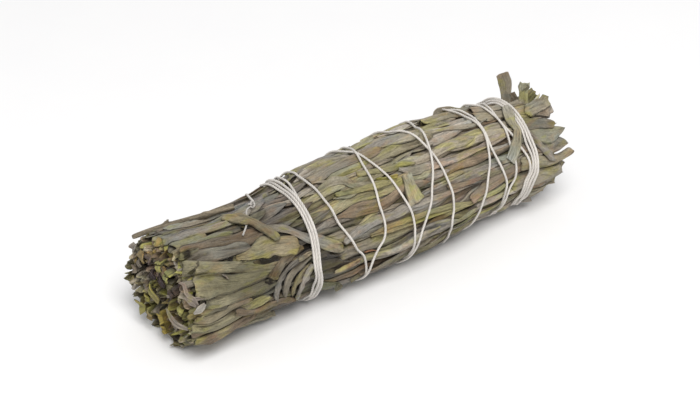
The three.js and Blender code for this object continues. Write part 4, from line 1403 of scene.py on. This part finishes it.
def settling(skin, thread_x, thread_angle):
    """How far the laid leaves sink: to an even level with a ridge on it, and under the thread's pinch."""
    settled = skin.blurred(5.0)
    columns = Skin.START_X + Skin.STEP * np.arange(Skin.COLUMNS)
    first = np.searchsorted(columns, CUT_END_X + 5)
    last = np.searchsorted(columns, TIP_END_X - 6)
    settled[:first] = settled[first]
    settled[last:] = settled[last]
    angles = np.arange(Skin.ANGLES)
    pinch = PINCH_DEPTH * (1 - np.exp(-0.45 * thread_mark(thread_x, thread_angle, 1.3)))
    pinch *= 1 - 0.6 * near_angle(angles, -30, 45)
    ridge = between(RIDGE_STATIONS, columns)[:, None] * near_angle(angles, RIDGE_ANGLE, 50)
    return Skin(settled + pinch - SKIN_LEVEL - ridge)


def add_skin_leaves(leaves, settle, surroundings):
    """The pieces of the skin, by tier and quarter."""
    places = [(tier, sector) for tier in ("near", "far") for sector in SECTORS]
    pieces = {(tier, sector): Piece(f"{tier}_leaves_{sector}") for tier, sector in places}
    for laid in leaves:
        tier = "near" if laid.x.mean() < 0 else "far"
        sector = list(SECTORS)[int(((laid.angle.mean() - FIRST_SECTOR_ANGLE) % TURN) // 90)]
        laid.add_to(pieces[tier, sector], settle, surroundings)
    for (tier, sector), piece in pieces.items():
        numbers, finish = SECTORS[sector]
        piece.build(finish, [f"{tier}_leaf_{number}" for number in numbers])


def make_listed(skin, name, finish, node, listed, number):
    """Lays one of the listed leaves on the skin as a piece of its own."""
    piece = Piece(name)
    lay_named(skin, np.random.default_rng(50 + number), listed, 400 + number).add_to(piece)
    piece.build(finish, [node])


# ---- Putting it together ----

add_camera()
add_stage()
add_world()
add_key_light()
bpy.context.scene.view_settings.view_transform = "Standard"

MATERIALS = {
    "grey_leaf": leaf_material("dried_leaf_grey", yellowing=0.95, rusting=0.60),
    "olive_leaf": leaf_material("dried_leaf_olive", yellowing=0.85, rusting=0.65),
    "stem": bark_material("woody_bark"),
    "thread": thread_material("undyed_cotton"),
}

skin = Skin(FIRST_LEVEL)
leaves = lay_skin(skin, np.random.default_rng(11))
thread_x, thread_angle = winding_track()
settle = settling(skin, thread_x, thread_angle)
# Maps of the skin near and round a leaf for its painted shade, the height above it that darkens it fully,
# and by how much.
surroundings = [(Skin(skin.blurred(0.35)), 0.36, 0.50), (Skin(skin.blurred(1.5)), 1.0, 0.30)]
add_skin_leaves(leaves, settle, surroundings)
skin.high -= settle.high

sprig_nodes = [f"inner_sprig_{i}" for i in range(1, 9)]
make("packed_sprigs", "grey_leaf", sprig_nodes, (add_sprigs, 21), slot="sprig")
make("cut_leaf_ends", "olive_leaf", [], (add_cut_ends, 22), (add_bent_ends, 23), slot="sprig")
make("inner_leaf_tips", "grey_leaf", [], (add_tip_ends, 25), slot="sprig")
make("crossing_inner_leaves", "grey_leaf", [], (add_crossing_leaves, 26))
make("rolled_leaves", "olive_leaf", [], (add_rolled_leaves, 24))
stems = Piece("woody_stems")
for number in range(len(STEMS)):
    add_stem(stems, np.random.default_rng(30 + number), number)
stems.build("stem", STEMS)

make_listed(skin, "torn_broad_leaf", "grey_leaf", "broad_leaf", TORN_LEAF, 0)
make_listed(skin, "chip_of_leaf", "grey_leaf", "leaf_chip", CHIP_LEAF, 1)
make_winding(skin, thread_x, thread_angle)
make_tail(skin)
make_listed(skin, "leaf_over_tail", "olive_leaf", "crossing_leaf", CROSSING_LEAF, 2)
make_listed(skin, "leaf_over_band", "grey_leaf", "folded_leaf", FOLDED_LEAF, 3)

for name, finish, nodes, listed in FREE_PIECES:
    piece = Piece(name)
    for item in listed:
        add_free_leaf(piece, *item)
    piece.build(finish, nodes)
make("thin_twig", "stem", ["loose_twig"], (add_twig, 63))
